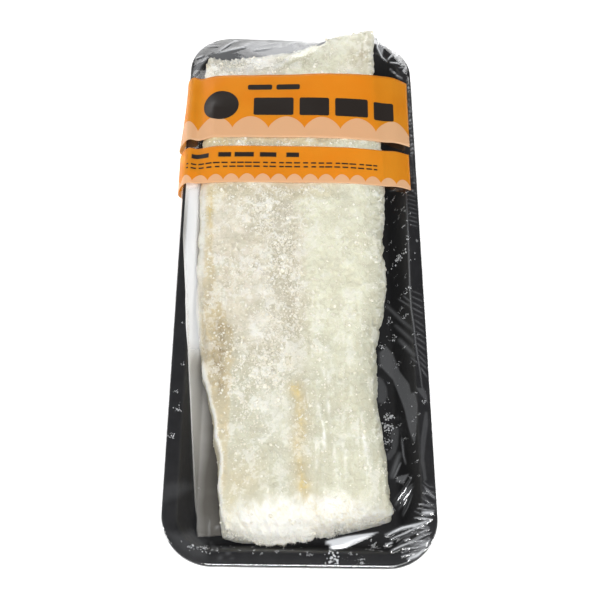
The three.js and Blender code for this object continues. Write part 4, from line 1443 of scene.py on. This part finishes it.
class Creases:
    """Creases over places of the plan: their height, and how milky the film is along them, which paints
    their highlights.
    """

    def __init__(self, x, y):
        self.x, self.y = x, y
        self.height = np.zeros_like(x)
        self.milk_and_glints = np.zeros_like(x)
        self.random = np.random.default_rng(27)

    def crease(self, path, width, height, milk_and_glints):
        """A rounded crease along a path, fading at both ends."""
        self.height += height * along_path(self.x, self.y, path, width)
        self.milk_and_glints = np.maximum(self.milk_and_glints, milk_and_glints * along_path(self.x, self.y, path, 0.7 * width))

    def facet(self, corners, height, milk_and_glints, soft):
        """A flat patch inside a closed outline, a little raised and evenly milky, which paints a
        reflection.
        """
        inside = depth_inside(self.x, self.y, corners)
        self.height += height * smooth(0, 1.5, inside)
        self.milk_and_glints = np.maximum(self.milk_and_glints, milk_and_glints * smooth(-soft, soft, inside))

    def ribs(self, levels, start, rise, drop, height, milk_and_glints):
        """Short creases over the right rim; rise, height and milkiness, their painted highlight, are
        drawn between two values.
        """
        for level in levels:
            path = [[start, level + self.random.uniform(*rise)], [69.2, level - drop]]
            self.crease(path, 0.5, self.random.uniform(*height), self.random.uniform(*milk_and_glints))

    def fan(self, count, starts, ends, width, height, milk_and_glints):
        """Creases from places along one line to places along another, in order."""
        random = self.random
        for k in range(count):
            share = (k + 0.5 + random.uniform(-0.35, 0.35)) / count
            start = mix(np.array(starts[0]), np.array(starts[1]), share) + random.normal(0, 0.6, 2)
            end = mix(np.array(ends[0]), np.array(ends[1]), share) + random.normal(0, 0.6, 2)
            bend = mix(start, end, 0.5) + random.normal(0, 0.5, 2)
            size = random.uniform(0.6, 1.3)
            lift = height * random.uniform(0.5, 1.2) * random.choice([-0.7, 1.0])
            self.crease([start, bend, end], width * size, lift * size, milk_and_glints * random.uniform(0.2, 1))


# Creases that stand out: width, height, milkiness (their painted highlight) and a path of [x, y] places
# in millimetres
CREASES = [
    (0.9, 0.7, 0.9, [[43.1, -149.9], [51.1, -146.1], [59.9, -143.7], [65.8, -141.5]]),
    (0.6, 0.5, 0.6, [[45.1, -151.6], [52.9, -148.4], [57.6, -145.9], [64, -142.8]]),
    (0.7, 0.4, 0.6, [[43.1, -154.4], [46.7, -152.8]]),
    (0.7, 0.5, 0.6, [[45.2, -157.2], [51.1, -154.3], [58, -151.8]]),
    (0.6, 0.4, 0.6, [[52.3, -151.9], [55.2, -150.7]]),
    (0.6, 0.4, 0.5, [[58.6, -148.6], [65.1, -145.5]]),
    (1, 0.7, 0.9, [[61.3, -138.2], [67.8, -137.5]]),
    (0.6, 0.4, 0.6, [[60.1, -141.1], [67, -140.9]]),
    (1.2, 0.6, 0.8, [[63.4, -154.6], [58.6, -158.6], [53.1, -160.8]]),
    (0.9, 0.4, 0.8, [[-62.7, 146.3], [-57.8, 147.2]]),
    (0.9, 0.4, 1, [[-49, 148.9], [-40.6, 159.1], [-38.6, 163.2]]),
    (0.8, 0.3, 0.9, [[-39.5, 158.9], [-36.4, 162.6]]),
    (1.2, 0.4, 0.9, [[-50.4, 147.4], [-42.7, 150.3], [-34.4, 153.7], [-26, 161.7]]),
    (0.7, 0.4, 0.8, [[-57, 158.5], [-50.1, 157.5]]),
    (0.7, 0.4, 0.8, [[-57.6, 155.9], [-48.6, 154.2]]),
    (1.1, 0.4, 0.9, [[-27.2, 150.4], [-14.3, 154]]),
    (0.8, 0.3, 0.3, [[-64, 131.2], [-60.7, 135.3]]),
    (0.7, 0.4, 0.6, [[-58.9, 141.4], [-57.2, 142.9], [-55.2, 145.2]]),
    (1, 0.4, 0.4, [[-22.3, 155], [-11.2, 159.5]]),
    (1.2, 0.5, 0.6, [[-10.6, 151.4], [-3.8, 157.3], [3.1, 161.6]]),
    (0.9, 0.5, 0.6, [[-1.4, 146.4], [4.7, 152.2], [11.3, 162]]),
    (0.8, 0.7, 1, [[47.9, 160.5], [47.9, 147], [50.7, 141.6], [54.3, 140]]),
    (0.6, 0.4, 1, [[50.9, 147], [53.9, 154.6], [57.4, 161.2]]),
    (0.55, 0.4, 1, [[54.3, 141.3], [56.8, 145.9], [59.5, 152.9]]),
    (0.55, 0.4, 1, [[55.5, 140.1], [62.1, 143.1]]),
    (0.7, 0.5, 0.6, [[55.3, 135.6], [58.3, 134.6], [61.3, 133], [64.4, 133.1]]),
    (0.6, 0.4, 0.6, [[64.2, 138.2], [67.9, 147.5]]),
    (0.6, 0.2, 0.1, [[52.2, 48.1], [61, 51.8]]),
    (0.6, 0.2, 0.12, [[54.5, -20.2], [61.8, -24.3]]),
    (0.6, 0.2, 0.12, [[57.5, -17.9], [61.6, -21.2]]),
    (1.6, 0.3, 0.07, [[47, -24.2], [56.1, -33.2], [62.5, -38.4]]),
    (1.6, 0.3, 0.07, [[51.7, -36], [62.5, -45.5]]),
    (1.8, 0.3, 0.09, [[53.5, -44.1], [62.7, -53.8]]),
    (0.6, 0.2, 0.1, [[59.9, -54.4], [63.9, -57.6]]),
    (1.6, 0.3, 0.1, [[52, -107.6], [46.5, -122.1]]),
    (0.6, 0.3, 0.2, [[52.1, -113], [47.8, -122]]),
    (0.6, 0.3, 0.15, [[53, -99.8], [53.5, -109.8], [54.6, -114.4]]),
    (0.5, 0.3, 0.2, [[57.5, -125.1], [50.1, -134.4]]),
    (0.6, 0.2, 0.2, [[-42.1, -142.8], [-42, -151.9]]),
    (0.5, 0.2, 0.15, [[-39.7, -142.7], [-36.6, -150]]),
    (0.6, 0.2, 0.06, [[-40.7, -153.4], [-39.5, -159]]),
    (0.6, 0.2, 0.07, [[-38.2, -155.7], [-35.6, -162.7]]),
    (0.6, 0.2, 0.07, [[-34.9, -155.6], [-29.9, -162.1]]),
]
# Flat patches of film: height, milkiness (a painted reflection), softness of the edge, and corners as
# [x, y]
FACETS = [
    (
        0.35, 0.085, 0.4,
        [
            [42.6, -60.4], [44, -53], [46.8, -49.3], [50.4, -53.6], [53.7, -63.7], [58.3, -69.9],
            [59.1, -75], [61.3, -74.1], [62.3, -81.2], [61.5, -89.8], [60.4, -98.6], [59.6, -102.3],
            [57.9, -98.7], [56.6, -93], [55.3, -85.1], [53.8, -80.2], [51.6, -73.7], [49.7, -68.3],
        ],
    ),
    (
        0.3, 0.06, 0.6,
        [[41.7, -67.1], [44, -68.1], [46.4, -73.5], [46.5, -78], [44.5, -82.5], [41.2, -81.6]],
    ),
    (0.2, 0.07, 0.3, [[62, -71.7], [64.5, -75.4], [68, -80], [67.7, -75.6], [66.3, -71.3]]),
    (
        0.2, 0.055, 0.4,
        [
            [66.1, -84.6], [64.5, -92.1], [63, -100.4], [62.3, -112], [63.5, -122],
            [65, -121], [64.1, -109.7], [65.7, -100.1], [67.3, -91.7], [67.5, -84.5],
        ],
    ),
    (
        0.2, 0.05, 0.5,
        [
            [47.1, -95.4], [50.8, -94], [51.7, -97.2], [50.9, -103.7], [49.7, -108],
            [46.4, -112.4], [43.4, -112.6], [44.5, -109.9], [47.7, -106],
        ],
    ),
    (0.3, 0.12, 0.4, [[49, -123.2], [49.9, -120.8], [55.8, -119], [52.7, -124.2]]),
    (0.3, 0.5, 0.6, [[58.6, -153.6], [65.4, -150.5], [63.4, -154.6]]),
    (
        0.4, 0.9, 0.5,
        [
            [14.4, -152.9], [18, -152], [24.5, -150.5], [38.8, -148.4],
            [35.6, -150.3], [28.8, -153.5], [22.5, -156.2], [17.5, -156.7],
        ],
    ),
    (
        0, 0.18, 1.5,
        [
            [-56.5, 148.5], [-53, 152], [-46, 156], [-31, 155],
            [-26.5, 147], [-34, 138.5], [-51, 142],
        ],
    ),
    (
        0, 0.45, 2.5,
        [
            [-36, 157.5], [-22.4, 161.8], [1.2, 161], [14.9, 159.3],
            [7.1, 149.7], [-5.1, 146.3], [-18.5, 143.3], [-29.6, 148.3],
        ],
    ),
    (
        0, 0.27, 1.2,
        [
            [-64.5, 129], [-64, 137], [-61.9, 143.2], [-58.3, 146.7],
            [-55.3, 147], [-55.7, 143.5], [-59.2, 139.1], [-61, 131],
        ],
    ),
    (0.3, 0.45, 0.5, [[47.9, 154.3], [51.3, 156.1], [51.8, 148.2], [50.8, 143.1], [49, 144.7]]),
    (
        0, 0.045, 2.5,
        [
            [-62, -149], [-55.7, -150], [-50, -148.6], [-43.1, -153.4],
            [-42.8, -160.4], [-48.5, -160.4], [-53.4, -157.2], [-57.9, -154.3],
        ],
    ),
    (0, 0.03, 2.5, [[-65.5, -125], [-54.7, -124.3], [-51.1, -127.3], [-56.8, -131.3], [-65, -134.2]]),
]
# Fans of creases: how many, the ends of two lines that they join, width, height and milkiness (their
# painted highlight)
FANS = [
    (11, ((58, 149), (64, 138)), ((60, 160), (68.5, 139)), 0.42, 0.4, 1),
    (6, ((51, 158), (58, 149)), ((53, 163), (61, 156)), 0.42, 0.4, 1),
    (11, ((60, -132), (50, -160)), ((68, -134), (62, -157)), 0.42, 0.35, 0.7),
    (8, ((63, -121), (62, -133)), ((69.5, -125), (69.5, -138)), 0.42, 0.3, 0.5),
    (8, ((57, -152), (53, -159)), ((66, -146), (62, -158)), 0.42, 0.4, 0.6),
    (7, ((54.6, -126.6), (55.2, -127.8)), ((48, -133), (52.4, -137)), 0.45, 0.25, 0.2),
    (9, ((45, -150), (53, -160)), ((60, -143), (66, -152)), 0.38, 0.3, 0.6),
    (9, ((57, -119), (58, -131)), ((47, -133), (52, -141)), 0.4, 0.2, 0.18),
]
# Where the fine creases of the right rim begin
FLANGE_LINE = [
    [62.5, 53], [62.3, 20], [61.6, -13.8], [61.7, -25.5], [62.7, -35.3],
    [63.2, -45.5], [64, -54.7], [64.7, -60.9], [65.3, -69.7], [66.5, -79],
]


def film_creases(x, y):
    """Height of the creases over the settled film, and how milky they make it, as painted highlights and
    reflections.
    """
    made = Creases(x, y)
    random = made.random
    for width, height, milk_and_glints, path in CREASES:
        made.crease(path, width, height, milk_and_glints)
    for height, milk_and_glints, soft, corners in FACETS:
        made.facet(corners, height, milk_and_glints, soft)
    made.crease(FLANGE_LINE, 0.5, 0.3, 0.2)
    line_x, line_y = np.array(FLANGE_LINE).T
    for level in np.append(np.arange(48.5, 27, -2.85), np.arange(-14, -62, -3.5)):
        start = np.interp(-level, -line_y, line_x) + random.uniform(0.2, 0.8)
        drop = mix(0.2, 2.2 + 2.6 * smooth(-14, -60, level), float(level < 0)) * random.uniform(0.8, 1.2)
        path = [[start, level], [68.6, level - drop]]
        made.crease(path, 0.55, random.uniform(0.14, 0.26), random.uniform(0.08, 0.16))
    made.ribs(np.arange(136.0, 78.0, -1.9), 66.2, (0.6, 1.8), 0.6, (0.25, 0.5), (0.1, 0.6))
    for fan in FANS:
        made.fan(*fan)
    made.ribs(np.arange(77.0, 50.0, -2.3), 65.6, (0.4, 1.4), 0.8, (0.15, 0.35), (0.05, 0.3))
    # Painted highlight: milky film over the top of the pad, so that the pad shows brighter
    from_pad = x - np.interp(y, [-60, 10], [-56.4, -62.4])
    pad_highlight = window(from_pad, 0, 1.2, 5.6, 7.6)
    pad_highlight = pad_highlight * window(y, -60, -46, 46, 52)
    made.milk_and_glints = np.maximum(made.milk_and_glints, 0.7 * pad_highlight)
    return made.height, np.clip(made.milk_and_glints, 0, 1)


# The film's sides and underside, as [inset from the rim's outline, height]
FILM_DROP = [
    [0.35, 25.75], [-0.25, 25.3], [-0.62, 24.4], [-0.6, 22.6], [0.9, 20.2], [2.9, 17.0], [4.9, 13.7],
    [6.9, 10.4], [8.6, 7.0], [10.0, 4.0], [10.9, 2.2], [12.6, 1.1], [15.5, 0.65], [19.0, 0.6],
]


def pad_lift(x, y):
    """How much the pad lifts the film on the left rim."""
    over = window(y, -30, -12, PAD_FAR + 4, PAD_FAR + 14)
    return 1.7 * over * (x < TRAY_X)


def under_film(x, y):
    """Heights that the film can't sink below: over the fish and salt, and over the whole pack."""
    fish = heights(piece_tree("fillet_flesh"), x, y)
    for name in ("salt_grains", "salt_clumps"):
        fish = np.fmax(fish, heights(piece_tree(name), x, y))
    fish = fish + 0.1
    under = np.full(x.shape, -1.0)
    for name, gap in (("tray_foam", 0.3), ("pad_fleece", 0.3), ("salt_crumbs", 0.1)):
        under = np.fmax(under, heights(piece_tree(name), x, y) + gap)
    return fish, np.fmax(under, fish)


def film_top(x, y, rounds):
    """Heights of the film over a grid of places, settled and creased, and its milkiness, which paints
    highlights and reflections.
    """
    packed = heights(solid_tree("film_wrap"), x, y)
    packed = np.where(np.isfinite(packed), packed, RIM_TOP + FILM_LIFT)
    fish, under = under_film(x, y)
    inner = np.zeros(x.shape, bool)
    inner[1:-1, 1:-1] = True
    edge = RIM_TOP + FILM_LIFT + pad_lift(x, y)
    start = np.where(np.isfinite(fish), np.fmax(under, packed - 3.0), packed)
    z = settle(np.where(inner, start, edge), under, x, y, rounds)
    creases, milk_and_glints = film_creases(x, y)
    from_edge = np.minimum(HALF_WIDTH - np.abs(x - TRAY_X), HALF_LENGTH - np.abs(y)) - FILM_INSET
    labelled = window(y, 44, 50, 130, 136) * (1 - smooth(62, 66, x))
    z = z + creases * smooth(-0.5, 1.2, from_edge) * (1 - labelled)
    return np.where(inner, np.fmax(z, under), z), milk_and_glints


def close_film(mesh, grid, i, j, plan):
    """Draws the film down round the tray in pleats and shuts it underneath."""
    rim = mesh.verts.layers.int.new("rim")
    for vert in mesh.verts:
        vert[rim] = vert.index
    edges = [edge for edge in mesh.edges if edge.is_boundary]
    lift = pad_lift(plan[:, 0], plan[:, 1])
    turns = np.arctan2(plan[:, 1] / HALF_LENGTH, plan[:, 0] / HALF_WIDTH)
    pleats = lattice(33)
    for inset, height in FILM_DROP:
        edges, verts = extruded(mesh, edges)
        verts = sorted(verts, key=lambda vert: vert[rim])
        source = np.array([vert[rim] for vert in verts])
        slack = 0.6 * smooth(23.5, 12, height) * smooth(0.9, 5.0, height)
        turn = turns[source]
        pleat = rough(pleats, 60 * (1 + turn / math.pi), np.full_like(turn, height / 14))
        places = grid.plan(i[source], j[source], inset - slack * np.maximum(pleat, -0.3))
        rise = lift[source] * smooth(22.0, 25.8, height)
        for vert, place, up in zip(verts, places, rise):
            vert.co = Vector((place[0], place[1], height + up)) * MM
    bmesh.ops.edgeloop_fill(mesh, edges=edges)


def build_film(settings):
    """One closed skin: a fine grid over the pack, drawn down round the tray and shut below."""
    grid = FilmGrid(settings)
    mesh = bmesh.new()
    bmesh.ops.create_grid(mesh, x_segments=grid.columns, y_segments=grid.rows, size=1.0)
    count = len(mesh.verts)
    i = np.arange(count) % (grid.columns + 1)
    j = np.arange(count) // (grid.columns + 1)
    plan = grid.plan(i, j, FILM_INSET)
    x, y = (row.reshape(grid.rows + 1, grid.columns + 1) for row in plan.T)
    z, milk_and_glints = film_top(x, y, settings.rounds)
    place_all(mesh, np.column_stack([plan, z.ravel()]))
    close_film(mesh, grid, i, j, plan)
    # Milky white painted along creases and patches as highlights and reflections
    haze_and_glints = np.zeros(len(mesh.verts))
    haze_and_glints[:count] = milk_and_glints.ravel()
    data = finish_mesh(mesh, "film")
    set_attribute(data, "haze_and_glints", haze_and_glints)
    return data


class FISHPACK_OT_film(bpy.types.Operator):
    """Clear stretch film pulled tight over the fish and creased at the corners"""

    bl_idname = "fishpack.film"
    bl_label = "Stretch film"

    def execute(self, context):
        settings = context.scene.fishpack_film
        data = build_film(settings)
        add_piece("film", data, film_finish(settings), ("film_wrap", "film_seal"))
        return {"FINISHED"}


# Printed strips


class LabelSettings(bpy.types.PropertyGroup):
    orange: colour_setting("Orange", "Main ink", 253, 178, 50)
    deep_orange: colour_setting("Deep orange", "Darker places", 248, 164, 34)
    peach: colour_setting("Peach", "Pale ink", 243, 203, 160)
    ink: colour_setting("Dark ink", "Dark shapes", 42, 36, 32)
    thickness: length_setting("Thickness", "Thickness of a strip", 0.14)
    glow: number_setting("Glow", "Light that comes through the strip", 0.12)
    clear: number_setting("Clear", "How much shows through the strip", 0.5)


# Middle of the strips' turn round the left wall, as x and height
TURN_HUB = (-50.0, 10.0)
# Where the strips lie along the pack, and how much of their turn's slack the far edge keeps
STRIPS = {
    "label_wide": {"draw": draw_wide, "near": 81.0, "far": 127.5, "far_share": 0.15},
    "label_narrow": {"draw": draw_narrow, "near": 50.5, "far": 75.0, "far_share": 1.0},
}
# Faces across a strip, over the film and round the turn
ACROSS_STRIP = 24
OVER_STATIONS = 118
TURN_STATIONS = 60
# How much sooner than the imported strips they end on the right
RIGHT_END = 2.2
# Angles round the hub at which a strip leaves the top of the film and ends under the tray
TURN_START = 138
TURN_END = 308
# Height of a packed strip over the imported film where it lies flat, and the gaps kept here
FLAT_STAND = 0.6
OVER_FILM = 0.12
BESIDE_FILM = 0.8


def hug_wall(turn, share):
    """Brings a strip's turn nearer the film's wall: by a share up high, and right against it below."""
    inset, height = np.array(FILM_DROP[:-2])[::-1].T
    wall = TRAY_X - HALF_WIDTH + np.interp(turn[:, 2], height, inset)
    stand = wall - turn[:, 0]
    kept = np.maximum(stand * share * smooth(8, 17, turn[:, 2]), BESIDE_FILM)
    turn[:, 0] = np.where(stand > BESIDE_FILM, wall - kept, turn[:, 0])
    return turn


def strip_paths(node, near, far, far_share):
    """Paths of a strip's rows: over the film, round the left rim, and tucked under the base."""
    tree = solid_tree(node)
    rows = np.linspace(near + 0.02, far - 0.02, ACROSS_STRIP + 1)
    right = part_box(node)[1][0] / MM - RIGHT_END
    stations = np.linspace(right, TRAY_X - HALF_WIDTH + FILM_INSET, OVER_STATIONS)
    x, y = np.meshgrid(stations, rows)
    stand = heights(tree, x, y) - heights(solid_tree("film_wrap"), x, y) - FLAT_STAND
    over = heights(piece_tree("film"), x, y) + OVER_FILM + np.clip(np.nan_to_num(stand), 0, 9)
    angles = np.radians(np.linspace(TURN_START, TURN_END, TURN_STATIONS))
    paths = []
    for row, height in zip(rows, over):
        hub = np.tile([TURN_HUB[0] + TRAY_X, row, TURN_HUB[1]], (TURN_STATIONS, 1))
        rays = np.column_stack([np.cos(angles), np.zeros(TURN_STATIONS), np.sin(angles)])
        turn = cast(tree, hub, rays)
        turn[:, 2] = np.maximum(turn[:, 2], 0.05)
        turn = hug_wall(turn, mix(1.0, far_share, (row - near) / (far - near)))
        top = np.column_stack([stations, np.full(OVER_STATIONS, row), height])
        paths.append(np.vstack([top, turn]))
    return np.array(paths)


def build_strip(node, near, far, far_share, settings):
    """A thin strip along its paths, with a map in millimetres for the print."""
    paths = strip_paths(node, near, far, far_share)
    stations = paths.shape[1]
    for _ in range(6):
        paths[:, 1:-1] = (paths[:, :-2] + 2 * paths[:, 1:-1] + paths[:, 2:]) / 4
        paths[1:-1] = (paths[:-2] + 2 * paths[1:-1] + paths[2:]) / 4
    over = paths[:, :OVER_STATIONS]
    film = heights(piece_tree("film"), over[..., 0], over[..., 1])
    over[..., 2] = np.fmax(over[..., 2], film + OVER_FILM)
    mesh = bmesh.new()
    bmesh.ops.create_grid(mesh, x_segments=stations - 1, y_segments=ACROSS_STRIP, size=1.0)
    place_all(mesh, paths.reshape(-1, 3))
    run = np.linalg.norm(np.diff(paths, axis=1), axis=2)
    along = np.cumsum(np.hstack([np.zeros((len(paths), 1)), run]), axis=1).ravel()
    across = np.repeat(np.linspace(0, far - near, ACROSS_STRIP + 1), stations)
    uv = mesh.loops.layers.uv.new("print")
    for face in mesh.faces:
        for loop in face.loops:
            index = loop.vert.index
            loop[uv].uv = (along[index], across[index])
    mesh.normal_update()
    mesh.verts.ensure_lookup_table()
    if mesh.verts[stations // 3].normal.z < 0:
        bmesh.ops.reverse_faces(mesh, faces=mesh.faces)
    bmesh.ops.solidify(mesh, geom=mesh.faces, thickness=-settings.thickness)
    return finish_mesh(mesh, node + "_strip")


class FISHPACK_OT_labels(bpy.types.Operator):
    """Two printed strips over the far end of the film"""

    bl_idname = "fishpack.labels"
    bl_label = "Printed strips"

    def execute(self, context):
        settings = context.scene.fishpack_labels
        for node, strip in STRIPS.items():
            data = build_strip(node, strip["near"], strip["far"], strip["far_share"], settings)
            finish = print_finish(settings, node + "_print", strip["draw"])
            add_piece(node + "_strip", data, finish, (node,))
        return {"FINISHED"}


# Stage


class StageSettings(bpy.types.PropertyGroup):
    floor: FloatVectorProperty(
        name="Floor", description="Pale floor", subtype="COLOR", default=(0.93, 0.93, 0.93)
    )
    ambient: number_setting("Ambient", "Light from all round", 0.08)
    light: number_setting("Light", "Strength of all the soft lights", 1.45)
    lens: FloatProperty(name="Lens", description="Focal length", default=62.57, unit="CAMERA")


# Soft lights: strength against a lit white wall, place in metres, width and height
LIGHTS = {
    "high_light": (2.5, (0.3, -0.5, 1.3), (0.45, 0.35)),
    "front_light": (12.6, (0.05, -0.68, 1.0), (0.5, 0.3)),
    "right_light": (9.0, (1.15, -0.35, 0.8), (0.45, 0.5)),
    "left_light": (8.0, (-1.2, -0.25, 0.75), (0.5, 0.6)),
    "back_wall": (1.4, (-0.6, 1.6, 0.45), (2.0, 0.9)),
}


CAMERA_PLACE = (-21.1, -289.4, 521.8)
CAMERA_AZIMUTH = -4.85
CAMERA_ELEVATION = 61.458
CAMERA_ROLL = 5.641


def aim_camera(camera):
    """Looks down on the pack from in front, turned a little as the photograph is."""
    azimuth, elevation, roll = map(math.radians, (CAMERA_AZIMUTH, CAMERA_ELEVATION, CAMERA_ROLL))
    across = math.cos(elevation)
    back = Vector((math.sin(azimuth) * across, -math.cos(azimuth) * across, math.sin(elevation)))
    right = Vector((math.cos(azimuth), math.sin(azimuth), 0))
    up = back.cross(right)
    turned_right = right * math.cos(roll) + up * math.sin(roll)
    turned_up = up * math.cos(roll) - right * math.sin(roll)
    turn = Matrix((turned_right, turned_up, back)).transposed().to_4x4()
    camera.matrix_world = Matrix.Translation(Vector(CAMERA_PLACE) * MM) @ turn


def add_light(name, strength, place, size):
    """A soft light that faces the pack."""
    data = bpy.data.lights.new(name, "AREA")
    data.energy = strength * math.pi * size[0] * size[1]
    data.shape = "RECTANGLE"
    data.size, data.size_y = size
    light = bpy.data.objects.new(name, data)
    bpy.context.scene.collection.objects.link(light)
    light.location = place
    light.rotation_mode = "QUATERNION"
    light.rotation_quaternion = (-Vector(place)).to_track_quat("-Z", "Y")


class FISHPACK_OT_stage(bpy.types.Operator):
    """Pale floor, soft lights and the camera"""

    bl_idname = "fishpack.stage"
    bl_label = "Stage"

    def execute(self, context):
        settings = context.scene.fishpack_stage
        mesh = bmesh.new()
        bmesh.ops.create_grid(mesh, x_segments=1, y_segments=1, size=3.0)
        floor = bpy.data.objects.new("floor", finish_mesh(mesh, "floor"))
        floor.data.transform(Matrix.Translation((0, 0, -0.0004)))
        context.scene.collection.objects.link(floor)
        finish = Finish("pale_floor").surface(
            base_color=settings.floor, roughness=0.9, emission_color=(1, 1, 1), emission_strength=0.6
        )
        floor.data.materials.append(finish)
        world = bpy.data.worlds.new("studio")
        world.use_nodes = True
        world.node_tree.nodes["Background"].inputs["Color"].default_value = (0.97, 0.985, 1.0, 1)
        world.node_tree.nodes["Background"].inputs["Strength"].default_value = settings.ambient
        context.scene.world = world
        for name, (strength, place, size) in LIGHTS.items():
            add_light(name, settings.light * strength, place, size)
        camera = bpy.data.objects.new("camera", bpy.data.cameras.new("camera"))
        camera.data.lens = settings.lens
        camera.data.sensor_width = 36.0
        camera.data.clip_start = 0.01
        context.scene.collection.objects.link(camera)
        aim_camera(camera)
        context.scene.camera = camera
        context.scene.view_settings.view_transform = "Standard"
        return {"FINISHED"}


class FISHPACK_PT_panel(bpy.types.Panel):
    """Lists the steps that build the pack"""

    bl_idname = "FISHPACK_PT_panel"
    bl_label = "Packed fillet"
    bl_space_type = "VIEW_3D"
    bl_region_type = "UI"
    bl_category = "Fish pack"

    def draw(self, context):
        for step in STEPS:
            self.layout.operator(step.bl_idname)


SETTINGS = {
    "fishpack_tray": TraySettings,
    "fishpack_pad": PadSettings,
    "fishpack_fillet": FilletSettings,
    "fishpack_crumbs": CrumbSettings,
    "fishpack_film": FilmSettings,
    "fishpack_labels": LabelSettings,
    "fishpack_stage": StageSettings,
}
STEPS = (
    FISHPACK_OT_tray,
    FISHPACK_OT_pad,
    FISHPACK_OT_fillet,
    FISHPACK_OT_crumbs,
    FISHPACK_OT_film,
    FISHPACK_OT_labels,
    FISHPACK_OT_stage,
)


def register():
    for kind in (*SETTINGS.values(), *STEPS, FISHPACK_PT_panel):
        bpy.utils.register_class(kind)
    for name, kind in SETTINGS.items():
        setattr(bpy.types.Scene, name, PointerProperty(type=kind))


def unregister():
    for name in SETTINGS:
        delattr(bpy.types.Scene, name)
    for kind in (FISHPACK_PT_panel, *reversed(STEPS), *reversed(SETTINGS.values())):
        bpy.utils.unregister_class(kind)


def main():
    register()
    bpy.ops.fishpack.tray()
    bpy.ops.fishpack.pad()
    bpy.ops.fishpack.fillet()
    bpy.ops.fishpack.crumbs()
    bpy.ops.fishpack.film()
    bpy.ops.fishpack.labels()
    bpy.ops.fishpack.stage()


if __name__ == "__main__":
    main()
